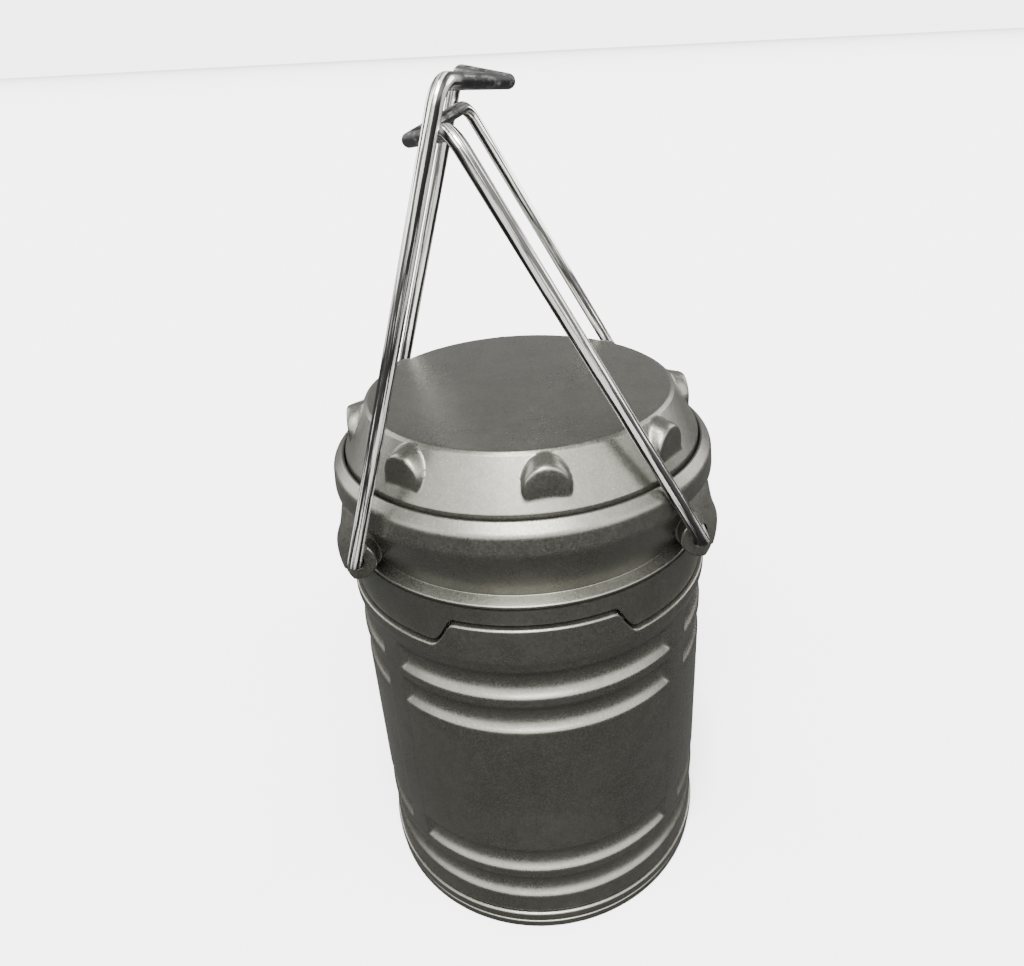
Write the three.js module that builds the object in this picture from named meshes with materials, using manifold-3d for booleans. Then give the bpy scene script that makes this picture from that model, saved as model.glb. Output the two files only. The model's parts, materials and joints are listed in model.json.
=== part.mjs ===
// A pull-up camping lantern, closed, standing on its battery cover, with both wire bails raised.
// Millimetres, +Z up, origin at the centre of the underside, front towards -Y.
import * as THREE from 'three';
import { mergeVertices } from 'three/addons/utils/BufferGeometryUtils.js';
import Module from 'manifold-3d';

const wasm = await Module();
wasm.setup();

// ---- Driving dimensions ----------------------------------------------------------------------

const SEGMENTS = 40; // round mouldings
const FINE_SEGMENTS = 12; // screws, bays, posts
const FIT_GAP = 0.3; // between pieces that touch or slide
const SEAM_GAP = 0.4; // seams seen from outside
const RUNNING_GAP = 0.4; // round a turning wire end

const BARREL_RADIUS = 43;
const BARREL_WALL = 3;
const RIM_HEIGHT = 89.8; // top of the barrel above the ground
const RIM_BEAD = 0.5; // how far the rim stands proud
const RIM_BEAD_HEIGHT = 2.4;
const RIM_BEAD_RUN_IN = 0.8; // height of the slope under the bead
const RIM_CHAMFER = 0.6;
const FOOT_CHAMFER = 0.3;
const GROOVE_HEIGHT = 7.5;
const GROOVE_DEPTH = 1.7;
const GROOVE_RIDGE = 2.3; // between the two grooves of a pair
const LOWER_BAND = 5.7; // plain band under the lower pair of grooves
const UPPER_BAND = 5; // plain band over the upper pair
const STRUT_WIDTH = 6.5;
const STRUT_RELIEF = 0.25; // how far a strut stands proud
const STRUT_AZIMUTH = 50; // degrees either side of front and back
const TAB_RISE = 6.4;
const TAB_TOP_HALF_AZIMUTH = 22.8; // degrees
const TAB_FOOT_HALF_AZIMUTH = 31;
const TAB_THICKNESS = 2.6;
const TAB_ROOT = 1; // how far the tab reaches down into the rim

const COVER_HEIGHT = 5.6;
const COVER_FLOOR = 2;
const COVER_BAND_HEIGHT = 2.2; // lower ring band
const COVER_GROOVE = 0.7;
const COVER_PROUD = 0.6; // upper ring band over the barrel's radius
const COVER_BAND_PROUD = 0.2; // lower ring band over the barrel's radius
const COVER_GROOVE_INSET = 0.3;
const COVER_CHAMFER = 0.7;
const COVER_BAND_CHAMFER = 0.5;
const GRIP_INNER = 16; // finger grips under the cover
const GRIP_OUTER = 24;
const GRIP_HALF_ANGLE = 35; // degrees
const GRIP_DEPTH = 0.9;
const NECK_INSET = 2.4; // barrel neck inside the cover's rim
const NECK_WALL = 4.8;
const NECK_STEP_HEIGHT = 8.4;
const LUG_COUNT = 3;
const LUG_RISE = 1.3; // lug above the neck's foot
const LUG_HEIGHT = 1;
const LUG_DEPTH = 1.5;
const LUG_HALF_ANGLE = 5; // degrees
const LUG_CLEARANCE_ANGLE = 1.5; // degrees
const TWIST = 30; // degrees from locked to released
const GASKET_THICKNESS = 1.4;
const GASKET_RECESS = 1;

const TRAVEL = 58; // how far the head pulls up
const SKIRT_HEIGHT = 10.3;
const SKIRT_INSET = 0.6;
const SKIRT_WALL = 2;
const FLANGE = 2.2; // thickness of inner flanges
const COLLAR_HEIGHT = 21.2;
const SHOULDER_PROUD = 1.2; // collar's widest ring over the barrel's radius
const CREASE_INSET = 3;
const BEAD_HEIGHT = 1.5;
const BEAD_INSET = 0.3; // bead inside the barrel's radius
const CREASE_HEIGHT = 0.5; // slope between the bead and the crease
const COLLAR_FLANGE_RISE = 5.3; // inner flange above the collar's foot
const SHOULDER_HEIGHT = 13.4; // widest ring above the collar's foot
const SEAM_INSET = 2.2; // cap seam inside the barrel's radius
const CAP_RISE = 10.6;
const CAP_WALL = 2.2;
const SPIGOT_LENGTH = 4.5;
const DISC_INSET = 8.1; // flat disc's edge inside the barrel's radius
const STUB_COUNT = 8;
const STUB_WIDTH = 10;
const STUB_TURN = 6.1; // degrees from the front to the first stub
const STUB_FOOT = 1.5; // stub's flat foot above the seam
const STUB_INSET = 1.3; // stub face inside the cap seam
const STUB_TOP = 1.4; // stub's crown under the disc
const CAP_POST_COUNT = 4;
const CAP_POST_TURN = 45; // degrees
const CAP_POST_WALL = 2;
const CAP_SCREW_REACH = 6.5; // above the collar's flange

const LENS_STEP = 2; // annulus between the lens tube and the bore
const LENS_WALL = 1.8;
const FOOT_HEIGHT = 4;
const GUIDE_HEIGHT = 5;
const GUIDE_DEPTH = 0.8; // guide ring's top under the rim

const BATTERY_RADIUS = 7.15;
const BATTERY_LENGTH = 50.5;
const NUB_RADIUS = 2.7;
const NUB_HEIGHT = 1.3;
const CELL_COUNT = 3;
const BAY_GAP = 0.4;
const BOX_GAP = 1.4; // between the box and the lens tube that slides round it
const BOX_WALL = 1.6;
const BOX_SCREW_TURN = 75; // degrees
const BOX_SCREW_REACH = 1.4; // above the neck's foot, less the gap
const TERMINAL_THICKNESS = 0.4;
const SPRING_HEIGHT = 5.4;
const SPRING_RADIUS = 3.9;
const SPRING_WIRE = 0.45; // radius
const SPRING_TURNS = 2.5;
const SPRING_TAPER = 0.25; // share of the radius lost on the way up

const COLUMN_LENGTH = 58;
const COLUMN_MARGIN = 3.6; // between the column's corners and the well
const BOARD_THICKNESS = 1;
const LED_RADIUS = 2.2;
const LED_HEIGHT = 2.2;
const LED_ROWS = 4;
const BOARD_SIDE_MARGIN = 5.5; // left of a column face's width beside its board
const BOARD_END_MARGIN = 3;
const REFLECTOR_RISE = 5.4; // reflector above the skirt's foot
const REFLECTOR_THICKNESS = 1.4;
const REFLECTOR_DISH = 1.5; // rise from the middle to the edge
const STAND_OFF_RADIUS = 2.2;
const DRIVER_RISE = 4; // driver board above the reflector's foot
const DRIVER_THICKNESS = 1.6;
const CHIP_SIZE = [7, 5, 2.4];
const CHIP_X = 8;

const SCREW_RADIUS = 1.1;
const SCREW_HEAD_RADIUS = 2.2;
const SCREW_HEAD_HEIGHT = 1.5;
const SCREW_HEAD_CHAMFER = 0.6;
const SCREW_HEAD_CHAMFER_HEIGHT = 0.5;
const STRIP_WIDTH = 5;
const STRIP_THICKNESS = 0.5;
const RISER_WIDTH = 3;
const WIPER_LENGTH = 3.5;

const WIRE_RADIUS = 1.45;
const HINGE_INSET = 6.8; // bail pivot inside the barrel's radius, across the body
const BOSS_INSET = 11; // boss face inside the barrel's radius, front and back
const HINGE_RISE = 7.3; // pivot above the collar's foot
const BOSS_RADIUS = 4.5;
const BOSS_DRAFT = 0.5; // wider at the root
const PAD_MARGIN = 1.2; // pad round the boss
const PAD_INSET = 3.4; // pad behind the boss face
const PAD_APEX = 5; // over the shoulder, before the pad is trimmed
const WIRE_END_DEPTH = 6; // how far each wire end reaches into its boss
const LEG_LENGTH = 93;
const LEG_TOE_IN = 0.8; // how much each leg closes in on the way up
const HOOK_REACH = 11.4;
const HOOK_BEND = 82; // degrees between a leg and its hook
const LEFT_BEND_X = -9.5; // where the left bail's bends stand
const WIRE_CORNER = 3.6; // bend radius
const HEEL_CORNER = 1.4; // heel bend radius in wire radii

// ---- Heights and radii that follow -----------------------------------------------------------

const barrelFoot = COVER_HEIGHT + SEAM_GAP;
const bore = BARREL_RADIUS - BARREL_WALL;
const skirtFoot = RIM_HEIGHT + FIT_GAP;
const collarFoot = skirtFoot + SKIRT_HEIGHT + FIT_GAP;
const collarTop = collarFoot + COLLAR_HEIGHT;
const bodyTop = collarTop + CAP_RISE;
const seamRadius = BARREL_RADIUS - SEAM_INSET;
const discRadius = BARREL_RADIUS - DISC_INSET;
const lensOuter = bore - LENS_STEP;
const lensInner = lensOuter - LENS_WALL;
const guideTop = RIM_HEIGHT - GUIDE_DEPTH;
const footTop = guideTop - GUIDE_HEIGHT - FIT_GAP - TRAVEL;
const footBottom = footTop - FOOT_HEIGHT;
const flangeBottom = collarFoot + COLLAR_FLANGE_RISE;
const flangeTop = flangeBottom + FLANGE;
const lensTop = flangeBottom - FIT_GAP;
const neckFoot = COVER_FLOOR + 1;
const lugFoot = neckFoot + LUG_RISE;
const neckOuter = BARREL_RADIUS - NECK_INSET;
const neckInner = neckOuter - NECK_WALL;
const coverRimInner = neckOuter + SEAM_GAP;
const plateBottom = COVER_FLOOR + FIT_GAP;
const plateTop = plateBottom + TERMINAL_THICKNESS;
const springFoot = plateTop + FIT_GAP;
const springTop = springFoot + SPRING_HEIGHT;
const boxFoot = Math.max(springTop, NECK_STEP_HEIGHT) + FIT_GAP;
const cellFoot = boxFoot + FIT_GAP;
const cellTop = cellFoot + BATTERY_LENGTH;
const terminalFoot = cellTop + FIT_GAP;
const bayTop = terminalFoot + TERMINAL_THICKNESS + FIT_GAP;
const boxTop = bayTop + BOX_WALL;
const boxOuter = lensInner - BOX_GAP;
const bayRadius = BATTERY_RADIUS + BAY_GAP;
const cellCircle = boxOuter - BOX_WALL - bayRadius;
const wellRadius = cellCircle - bayRadius - BOX_WALL;
const wellFloor = boxFoot + BOX_WALL;
const boxScrewCircle = (boxOuter + bore) / 2;
const riserInner = lensInner - STRIP_THICKNESS - 0.2;
const reflectorRadius = riserInner - FIT_GAP;
const reflectorBottom = skirtFoot + REFLECTOR_RISE;
const driverBottom = reflectorBottom + DRIVER_RISE;
const columnCorner = wellRadius - COLUMN_MARGIN;
const columnTop = reflectorBottom - FIT_GAP;
const capPostCircle = lensInner - SCREW_HEAD_RADIUS - 1;
const hingeX = BARREL_RADIUS - HINGE_INSET;
const hingeZ = collarFoot + HINGE_RISE;
const bossFace = BARREL_RADIUS - BOSS_INSET;
const legY = bossFace + FIT_GAP + 0.05 + WIRE_RADIUS;

// ---- Geometry helpers ------------------------------------------------------------------------

const radians = THREE.MathUtils.degToRad;
const polar = (radius, degrees) => new THREE.Vector2(
  radius * Math.cos(radians(degrees)),
  radius * Math.sin(radians(degrees)),
);

// A closed three.js geometry as a manifold solid, turned right side out.
function solid(geometry) {
  const bare = geometry.index ? geometry.toNonIndexed() : geometry.clone();
  bare.deleteAttribute('normal');
  bare.deleteAttribute('uv');
  const merged = mergeVertices(bare, 1e-4);
  const position = merged.attributes.position;
  const kept = [];
  let volume = 0;
  const [a, b, c] = [new THREE.Vector3(), new THREE.Vector3(), new THREE.Vector3()];
  for (let i = 0; i < merged.index.count; i += 3) {
    const corner = [0, 1, 2].map((k) => merged.index.getX(i + k));
    if (new Set(corner).size < 3) continue;
    kept.push(...corner);
    a.fromBufferAttribute(position, corner[0]);
    b.fromBufferAttribute(position, corner[1]);
    c.fromBufferAttribute(position, corner[2]);
    volume += a.dot(b.cross(c));
  }
  const triVerts = Uint32Array.from(volume < 0 ? kept.reverse() : kept);
  const vertProperties = Float32Array.from(position.array);
  return new wasm.Manifold(new wasm.Mesh({ numProp: 3, vertProperties, triVerts }));
}

// A profile of [radius, z] points turned about the Z axis.
function turned(profile, segments = SEGMENTS) {
  const points = profile.map(([r, z]) => new THREE.Vector2(r, z));
  const closed = profile[0][0] > 0 || profile[profile.length - 1][0] > 0;
  if (closed) points.push(points[0].clone());
  return solid(new THREE.LatheGeometry(points, segments).rotateX(Math.PI / 2));
}

const ring = (inner, outer, bottom, top, segments = SEGMENTS) => turned(
  [[inner, bottom], [outer, bottom], [outer, top], [inner, top]],
  segments,
);

const disc = (radius, bottom, top, segments = SEGMENTS) => turned(
  [[0, bottom], [radius, bottom], [radius, top], [0, top]],
  segments,
);

// A disc whose axis stands at a point of the plan.
const post = (centre, radius, bottom, top, segments = FINE_SEGMENTS) => (
  disc(radius, bottom, top, segments).translate([centre.x, centre.y, 0])
);

// A flat outline in X and Y, pushed up from one height to another.
function prism(points, bottom, top) {
  const shape = new THREE.Shape(points);
  const geometry = new THREE.ExtrudeGeometry(shape, { depth: top - bottom, bevelEnabled: false });
  return solid(geometry).translate([0, 0, bottom]);
}

const block = (width, depth, height, x, y, z) => (
  solid(new THREE.BoxGeometry(width, depth, height)).translate([x, y, z])
);

// The part of a ring between two azimuths, in degrees from +X.
function sector(inner, outer, from, to, bottom, top) {
  const steps = Math.max(2, Math.ceil((to - from) / 5));
  const angles = Array.from({ length: steps + 1 }, (_, i) => from + ((to - from) * i) / steps);
  const outside = angles.map((angle) => polar(outer, angle));
  const inside = angles.map((angle) => polar(inner, angle)).reverse();
  return prism([...outside, ...inside], bottom, top);
}

const joined = (pieces) => pieces.reduce((whole, piece) => whole.add(piece));
const around = (count, make) => Array.from({ length: count }, (_, i) => make((360 * i) / count, i));
const boxScrewPlaces = around(CELL_COUNT, (angle) => polar(boxScrewCircle, angle + BOX_SCREW_TURN));
const capPostPlaces = around(CAP_POST_COUNT, (angle) => polar(capPostCircle, angle + CAP_POST_TURN));

// ---- Materials -------------------------------------------------------------------------------

const finish = (color, roughness, metalness, more = {}) => (
  new THREE.MeshStandardMaterial({ color, roughness, metalness, ...more })
);
const graphite = finish(0x6c6c66, 0.42, 0.55);
const darkGraphite = finish(0x53534e, 0.45, 0.5);
const chrome = finish(0xd9d6cc, 0.12, 1);
const clearPlastic = finish(0xe9eef0, 0.25, 0, { transparent: true, opacity: 0.4 });
const whitePlastic = finish(0xe8e8e4, 0.5, 0);
const blackPlastic = finish(0x222322, 0.55, 0);
const mirrorPlastic = finish(0xdfe3e6, 0.1, 0.95);
const boardWhite = finish(0xf2f2ec, 0.45, 0);
const boardGreen = finish(0x1f6b42, 0.5, 0);
const cellWrap = finish(0x3a4b63, 0.35, 0.2);
const brass = finish(0xc7a24a, 0.3, 1);
const springSteel = finish(0xbfc2c4, 0.25, 1);
const screwSteel = finish(0x9a9da0, 0.35, 1);
const rubber = finish(0x1b1b1b, 0.85, 0);

const lantern = new THREE.Group();

// Adds a manifold solid to the lantern as a named mesh.
function piece(name, shape, material) {
  const mesh = shape.getMesh();
  const geometry = new THREE.BufferGeometry();
  geometry.setAttribute('position', new THREE.BufferAttribute(mesh.vertProperties, 3));
  geometry.setIndex(new THREE.BufferAttribute(mesh.triVerts, 1));
  geometry.computeVertexNormals();
  const node = new THREE.Mesh(geometry, material);
  node.name = name;
  lantern.add(node);
}

// ---- Barrel ----------------------------------------------------------------------------------

const groovePairHeight = 2 * GROOVE_HEIGHT + GROOVE_RIDGE;
const lowerPair = barrelFoot + LOWER_BAND;
const upperPair = RIM_HEIGHT - UPPER_BAND - groovePairHeight;
const grooveFeet = [
  lowerPair,
  lowerPair + GROOVE_HEIGHT + GROOVE_RIDGE,
  upperPair,
  upperPair + GROOVE_HEIGHT + GROOVE_RIDGE,
];

// One scooped groove, as a circular arc from its foot to its top.
function grooveArc(foot) {
  const steps = 4;
  const half = GROOVE_HEIGHT / 2;
  const radius = (half * half + GROOVE_DEPTH * GROOVE_DEPTH) / (2 * GROOVE_DEPTH);
  const centre = BARREL_RADIUS + radius - GROOVE_DEPTH;
  const spread = Math.asin(half / radius);
  return Array.from({ length: steps + 1 }, (_, i) => {
    const angle = -spread + (2 * spread * i) / steps;
    return [centre - radius * Math.cos(angle), foot + half + radius * Math.sin(angle)];
  });
}

// The tab's outline seen from the front: a flat top and S-curved flanks, open at the foot.
function tabOutline(margin) {
  const topX = BARREL_RADIUS * Math.sin(radians(TAB_TOP_HALF_AZIMUTH)) + margin;
  const footX = BARREL_RADIUS * Math.sin(radians(TAB_FOOT_HALF_AZIMUTH)) + margin;
  const steps = 8;
  const flank = Array.from({ length: steps + 1 }, (_, i) => {
    const t = i / steps;
    const ease = t * t * (3 - 2 * t);
    return [footX + (topX - footX) * t, RIM_HEIGHT + (TAB_RISE + margin) * ease];
  });
  const right = [[footX, RIM_HEIGHT - TAB_RISE / 2], ...flank];
  const left = right.map(([x, z]) => [-x, z]).reverse();
  return [...right, ...left].map(([x, z]) => new THREE.Vector2(x, z));
}

// The tab outline as a slab through the whole body from front to back.
const tabSlab = (margin) => prism(tabOutline(margin), -2 * BARREL_RADIUS, 2 * BARREL_RADIUS)
  .rotate([90, 0, 0]);

function barrel() {
  const shell = turned([
    [neckInner, neckFoot],
    [neckOuter, neckFoot],
    [neckOuter, barrelFoot],
    [BARREL_RADIUS - FOOT_CHAMFER, barrelFoot],
    [BARREL_RADIUS, barrelFoot + FOOT_CHAMFER],
    ...grooveFeet.flatMap(grooveArc),
    [BARREL_RADIUS, RIM_HEIGHT - RIM_BEAD_HEIGHT - RIM_BEAD_RUN_IN],
    [BARREL_RADIUS + RIM_BEAD, RIM_HEIGHT - RIM_BEAD_HEIGHT],
    [BARREL_RADIUS + RIM_BEAD, RIM_HEIGHT - RIM_CHAMFER],
    [BARREL_RADIUS + RIM_BEAD - RIM_CHAMFER, RIM_HEIGHT],
    [bore, RIM_HEIGHT],
    [bore, NECK_STEP_HEIGHT],
    [neckInner, NECK_STEP_HEIGHT],
  ]);
  const strutFoot = grooveFeet[1] - GROOVE_RIDGE / 2;
  const strutTop = grooveFeet[3] + GROOVE_HEIGHT + SEAM_GAP;
  const strutHalf = THREE.MathUtils.radToDeg(STRUT_WIDTH / 2 / BARREL_RADIUS);
  const strutAzimuths = [90, 270].flatMap((middle) => [middle - STRUT_AZIMUTH, middle + STRUT_AZIMUTH]);
  const struts = strutAzimuths.map((at) => sector(
    bore + 0.5,
    BARREL_RADIUS + STRUT_RELIEF,
    at - strutHalf,
    at + strutHalf,
    strutFoot,
    strutTop,
  ));
  const tabInner = BARREL_RADIUS - TAB_THICKNESS;
  const tabRing = ring(tabInner, BARREL_RADIUS, RIM_HEIGHT - TAB_ROOT, RIM_HEIGHT + TAB_RISE);
  const tabs = tabRing.intersect(tabSlab(0));
  const slots = around(LUG_COUNT, bayonetSlot);
  const screwHoles = boxScrewPlaces.map((at) => (
    post(at, SCREW_RADIUS + FIT_GAP, neckFoot + BOX_SCREW_REACH - 0.2, NECK_STEP_HEIGHT + 1)
  ));
  return joined([shell, ...struts, tabs]).subtract(joined([...slots, ...screwHoles]));
}

// The L-shaped slot that a cover lug enters from below and turns along.
function bayonetSlot(angle) {
  const margin = LUG_HALF_ANGLE + LUG_CLEARANCE_ANGLE;
  const depth = neckOuter - LUG_DEPTH - FIT_GAP;
  const bottom = lugFoot - FIT_GAP;
  const top = lugFoot + LUG_HEIGHT + FIT_GAP;
  const run = sector(depth, neckOuter + 1, angle - margin, angle + TWIST + margin, bottom, top);
  const entry = angle + TWIST;
  const mouth = sector(depth, neckOuter + 1, entry - margin, entry + margin, neckFoot - 1, top);
  return run.add(mouth);
}

piece('barrel', barrel(), graphite);
const guideRing = ring(lensOuter + FIT_GAP, bore - FIT_GAP, guideTop - GUIDE_HEIGHT, guideTop);
piece('guide_ring', guideRing, blackPlastic);

// ---- Battery box and cells -------------------------------------------------------------------

const cellAngles = around(CELL_COUNT, (angle) => angle + 90);

function batteryBox() {
  const body = disc(boxOuter, boxFoot, boxTop).add(disc(bore - FIT_GAP, boxFoot, boxFoot + FLANGE));
  const well = disc(wellRadius, wellFloor, boxTop + 1);
  const upright = (radius) => cellAngles.map((angle) => (
    post(polar(cellCircle, angle), radius, boxFoot - 1, bayTop)
  ));
  const bays = upright(bayRadius);
  const bayTubes = upright(bayRadius + BOX_WALL);
  const pockets = ring(wellRadius + BOX_WALL, boxOuter - BOX_WALL, boxFoot - 1, bayTop)
    .subtract(joined(bayTubes));
  const screwHoles = boxScrewPlaces.map((at) => (
    post(at, SCREW_RADIUS + FIT_GAP, boxFoot - 1, boxFoot + FLANGE + 1)
  ));
  const stripSlots = [-1, 1].map((side) => (
    block(4, STRIP_WIDTH + 2, 2 * FLANGE + 2, side * (bore - 0.7), 0, boxFoot + FLANGE / 2)
  ));
  return body.subtract(joined([well, pockets, ...bays, ...screwHoles, ...stripSlots]));
}

piece('battery_box', batteryBox(), blackPlastic);

cellAngles.forEach((angle, i) => {
  const at = polar(cellCircle, angle);
  const shoulder = cellTop - NUB_HEIGHT;
  const cell = turned([
    [0, cellFoot],
    [BATTERY_RADIUS, cellFoot],
    [BATTERY_RADIUS, shoulder],
    [NUB_RADIUS, shoulder],
    [NUB_RADIUS, cellTop],
    [0, cellTop],
  ], FINE_SEGMENTS);
  piece(`battery_${i + 1}`, cell.translate([at.x, at.y, 0]), cellWrap);
  const terminal = post(at, BATTERY_RADIUS - 1.6, terminalFoot, terminalFoot + TERMINAL_THICKNESS);
  piece(`terminal_${i + 1}`, terminal, brass);
});

// A screw with its head up, from its point to the underside of its head.
function screw(point, headFoot) {
  const headTop = headFoot + SCREW_HEAD_HEIGHT;
  return turned([
    [0, point],
    [SCREW_RADIUS, point],
    [SCREW_RADIUS, headFoot],
    [SCREW_HEAD_RADIUS, headFoot],
    [SCREW_HEAD_RADIUS, headTop - SCREW_HEAD_CHAMFER_HEIGHT],
    [SCREW_HEAD_RADIUS - SCREW_HEAD_CHAMFER, headTop],
    [0, headTop],
  ], FINE_SEGMENTS);
}

boxScrewPlaces.forEach((at, i) => {
  const shape = screw(neckFoot + BOX_SCREW_REACH + 0.2, boxFoot + FLANGE + FIT_GAP);
  piece(`box_screw_${i + 1}`, shape.translate([at.x, at.y, 0]), screwSteel);
});

// The two strips stand against the bore, left and right, and feed the sleeve's wipers.
const stripOuter = Math.sqrt((bore - FIT_GAP) ** 2 - (STRIP_WIDTH / 2) ** 2);
const stripFoot = NECK_STEP_HEIGHT + FIT_GAP;
const stripTop = guideTop - GUIDE_HEIGHT - FIT_GAP;
const sides = [['left', -1], ['right', 1]];

for (const [side, sign] of sides) {
  const middle = sign * (stripOuter - STRIP_THICKNESS / 2);
  const height = stripTop - stripFoot;
  const strip = block(STRIP_THICKNESS, STRIP_WIDTH, height, middle, 0, stripFoot + height / 2);
  piece(`contact_strip_${side}`, strip, brass);
}

// ---- Battery cover ---------------------------------------------------------------------------

function batteryCover() {
  const grooveRadius = BARREL_RADIUS - COVER_GROOVE_INSET;
  const bandRadius = BARREL_RADIUS + COVER_BAND_PROUD;
  const rimRadius = BARREL_RADIUS + COVER_PROUD;
  const grooveTop = COVER_BAND_HEIGHT + COVER_GROOVE;
  const cup = turned([
    [0, 0],
    [bandRadius - COVER_CHAMFER, 0],
    [bandRadius, COVER_CHAMFER],
    [bandRadius, COVER_BAND_HEIGHT - COVER_BAND_CHAMFER],
    [bandRadius - COVER_BAND_CHAMFER, COVER_BAND_HEIGHT],
    [grooveRadius, COVER_BAND_HEIGHT],
    [grooveRadius, grooveTop],
    [rimRadius, grooveTop],
    [rimRadius, COVER_HEIGHT - COVER_CHAMFER],
    [rimRadius - COVER_CHAMFER, COVER_HEIGHT],
    [coverRimInner, COVER_HEIGHT],
    [coverRimInner, COVER_FLOOR],
    [0, COVER_FLOOR],
  ]);
  const lugs = around(LUG_COUNT, (angle) => sector(
    neckOuter - LUG_DEPTH,
    coverRimInner + 0.5,
    angle - LUG_HALF_ANGLE,
    angle + LUG_HALF_ANGLE,
    lugFoot,
    lugFoot + LUG_HEIGHT,
  ));
  const recess = ring(neckInner, coverRimInner, COVER_FLOOR - GASKET_RECESS, COVER_FLOOR + 0.01);
  const fingerGrips = [0, 180].map((angle) => (
    sector(GRIP_INNER, GRIP_OUTER, angle - GRIP_HALF_ANGLE, angle + GRIP_HALF_ANGLE, -1, GRIP_DEPTH)
  ));
  return joined([cup.subtract(recess), ...lugs]).subtract(joined(fingerGrips));
}

piece('battery_cover', batteryCover(), graphite);

const gasketFoot = COVER_FLOOR - GASKET_RECESS + FIT_GAP;
const gasket = ring(neckInner + 0.4, neckOuter - 0.4, gasketFoot, gasketFoot + GASKET_THICKNESS);
piece('cover_gasket', gasket, rubber);
const contactPlate = ring(cellCircle - bayRadius, cellCircle + bayRadius, plateBottom, plateTop);
piece('contact_plate', contactPlate, brass);

// A run of points joined in order, with as many steps as there are runs between them.
class PointCurve extends THREE.Curve {
  constructor(points) {
    super();
    this.points = points;
  }

  getUtoTmapping(u) {
    return u;
  }

  getPoint(t) {
    const place = t * (this.points.length - 1);
    const i = Math.min(Math.floor(place), this.points.length - 2);
    return this.points[i].clone().lerp(this.points[i + 1], place - i);
  }
}

// A round wire along a run of points.
function wire(points, radius, sides) {
  const section = new THREE.Shape(Array.from({ length: sides }, (_, i) => {
    const angle = (2 * Math.PI * (i + 0.5)) / sides;
    return new THREE.Vector2(radius * Math.cos(angle), radius * Math.sin(angle));
  }));
  const options = { steps: points.length - 1, extrudePath: new PointCurve(points), bevelEnabled: false };
  return solid(new THREE.ExtrudeGeometry(section, options));
}

cellAngles.forEach((angle, i) => {
  const at = polar(cellCircle, angle);
  const steps = Math.round(SPRING_TURNS * 9);
  const rise = SPRING_HEIGHT - 2 * SPRING_WIRE;
  const coil = Array.from({ length: steps + 1 }, (_, k) => {
    const t = k / steps;
    const turn = 2 * Math.PI * SPRING_TURNS * t;
    const radius = SPRING_RADIUS * (1 - SPRING_TAPER * t);
    const z = springFoot + SPRING_WIRE + rise * t;
    return new THREE.Vector3(at.x + radius * Math.cos(turn), at.y + radius * Math.sin(turn), z);
  });
  piece(`spring_${i + 1}`, wire(coil, SPRING_WIRE, 5), springSteel);
});

// ---- Head: skirt, collar and top cap ---------------------------------------------------------

const skirtOuter = BARREL_RADIUS - SKIRT_INSET;
const skirtTop = skirtFoot + SKIRT_HEIGHT;

function skirt() {
  const band = turned([
    [skirtOuter - SKIRT_WALL, skirtFoot],
    [skirtOuter, skirtFoot],
    [skirtOuter, skirtTop],
    [lensOuter + FIT_GAP, skirtTop],
    [lensOuter + FIT_GAP, skirtTop - FLANGE],
    [skirtOuter - SKIRT_WALL, skirtTop - FLANGE],
  ]);
  return band.subtract(tabSlab(SEAM_GAP));
}

piece('skirt', skirt(), darkGraphite);

const shoulderRadius = BARREL_RADIUS + SHOULDER_PROUD;
const collarBore = lensOuter + SEAM_GAP;
const spigotInner = seamRadius - CAP_WALL;
const spigotFoot = collarTop - SPIGOT_LENGTH;

// The collar's wall flares straight out from the crease to its widest ring, the shoulder.
const creaseRadius = BARREL_RADIUS - CREASE_INSET;
const creaseZ = collarFoot + BEAD_HEIGHT + CREASE_HEIGHT;
const shoulderZ = collarFoot + SHOULDER_HEIGHT;
const flangeInner = capPostCircle - SCREW_HEAD_RADIUS - 1;

// The quarter ellipse from the shoulder up to the cap's seam.
function collarShoulder() {
  const steps = 4;
  const inner = seamRadius + SEAM_GAP;
  return Array.from({ length: steps + 1 }, (_, i) => {
    const angle = (Math.PI / 2) * (i / steps);
    return [
      inner + (shoulderRadius - inner) * Math.cos(angle),
      shoulderZ + (collarTop - shoulderZ) * Math.sin(angle),
    ];
  });
}

function collar() {
  const beadRadius = BARREL_RADIUS - BEAD_INSET;
  const shell = turned([
    [beadRadius - 0.2, collarFoot],
    [beadRadius, collarFoot + BEAD_HEIGHT / 2],
    [beadRadius - 0.5, collarFoot + BEAD_HEIGHT],
    [creaseRadius, creaseZ],
    ...collarShoulder(),
    [seamRadius + SEAM_GAP, spigotFoot - FIT_GAP],
    [spigotInner, spigotFoot - FIT_GAP],
    [spigotInner, flangeTop],
    [flangeInner, flangeTop],
    [flangeInner, flangeBottom],
    [collarBore, flangeBottom],
    [collarBore, collarFoot],
  ]);
  const bosses = [];
  const holes = [];
  for (const side of [-1, 1]) {
    for (const face of [-1, 1]) {
      bosses.push(bailBoss(side, face));
      holes.push(bossHole(side, face));
    }
  }
  const screwHoles = capPostPlaces.map((at) => (
    post(at, SCREW_RADIUS + FIT_GAP, flangeBottom - 1, flangeTop + 1)
  ));
  return joined([shell, ...bosses]).subtract(joined([...holes, ...screwHoles]));
}

// A cylinder standing towards +Y, placed at a pivot.
const pivotCylinder = (near, far, from, to, side, face) => {
  const body = turned([[0, from], [near, from], [far, to], [0, to]], FINE_SEGMENTS);
  return body.rotate([-90 * face, 0, 0]).translate([side * hingeX, 0, hingeZ]);
};

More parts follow.
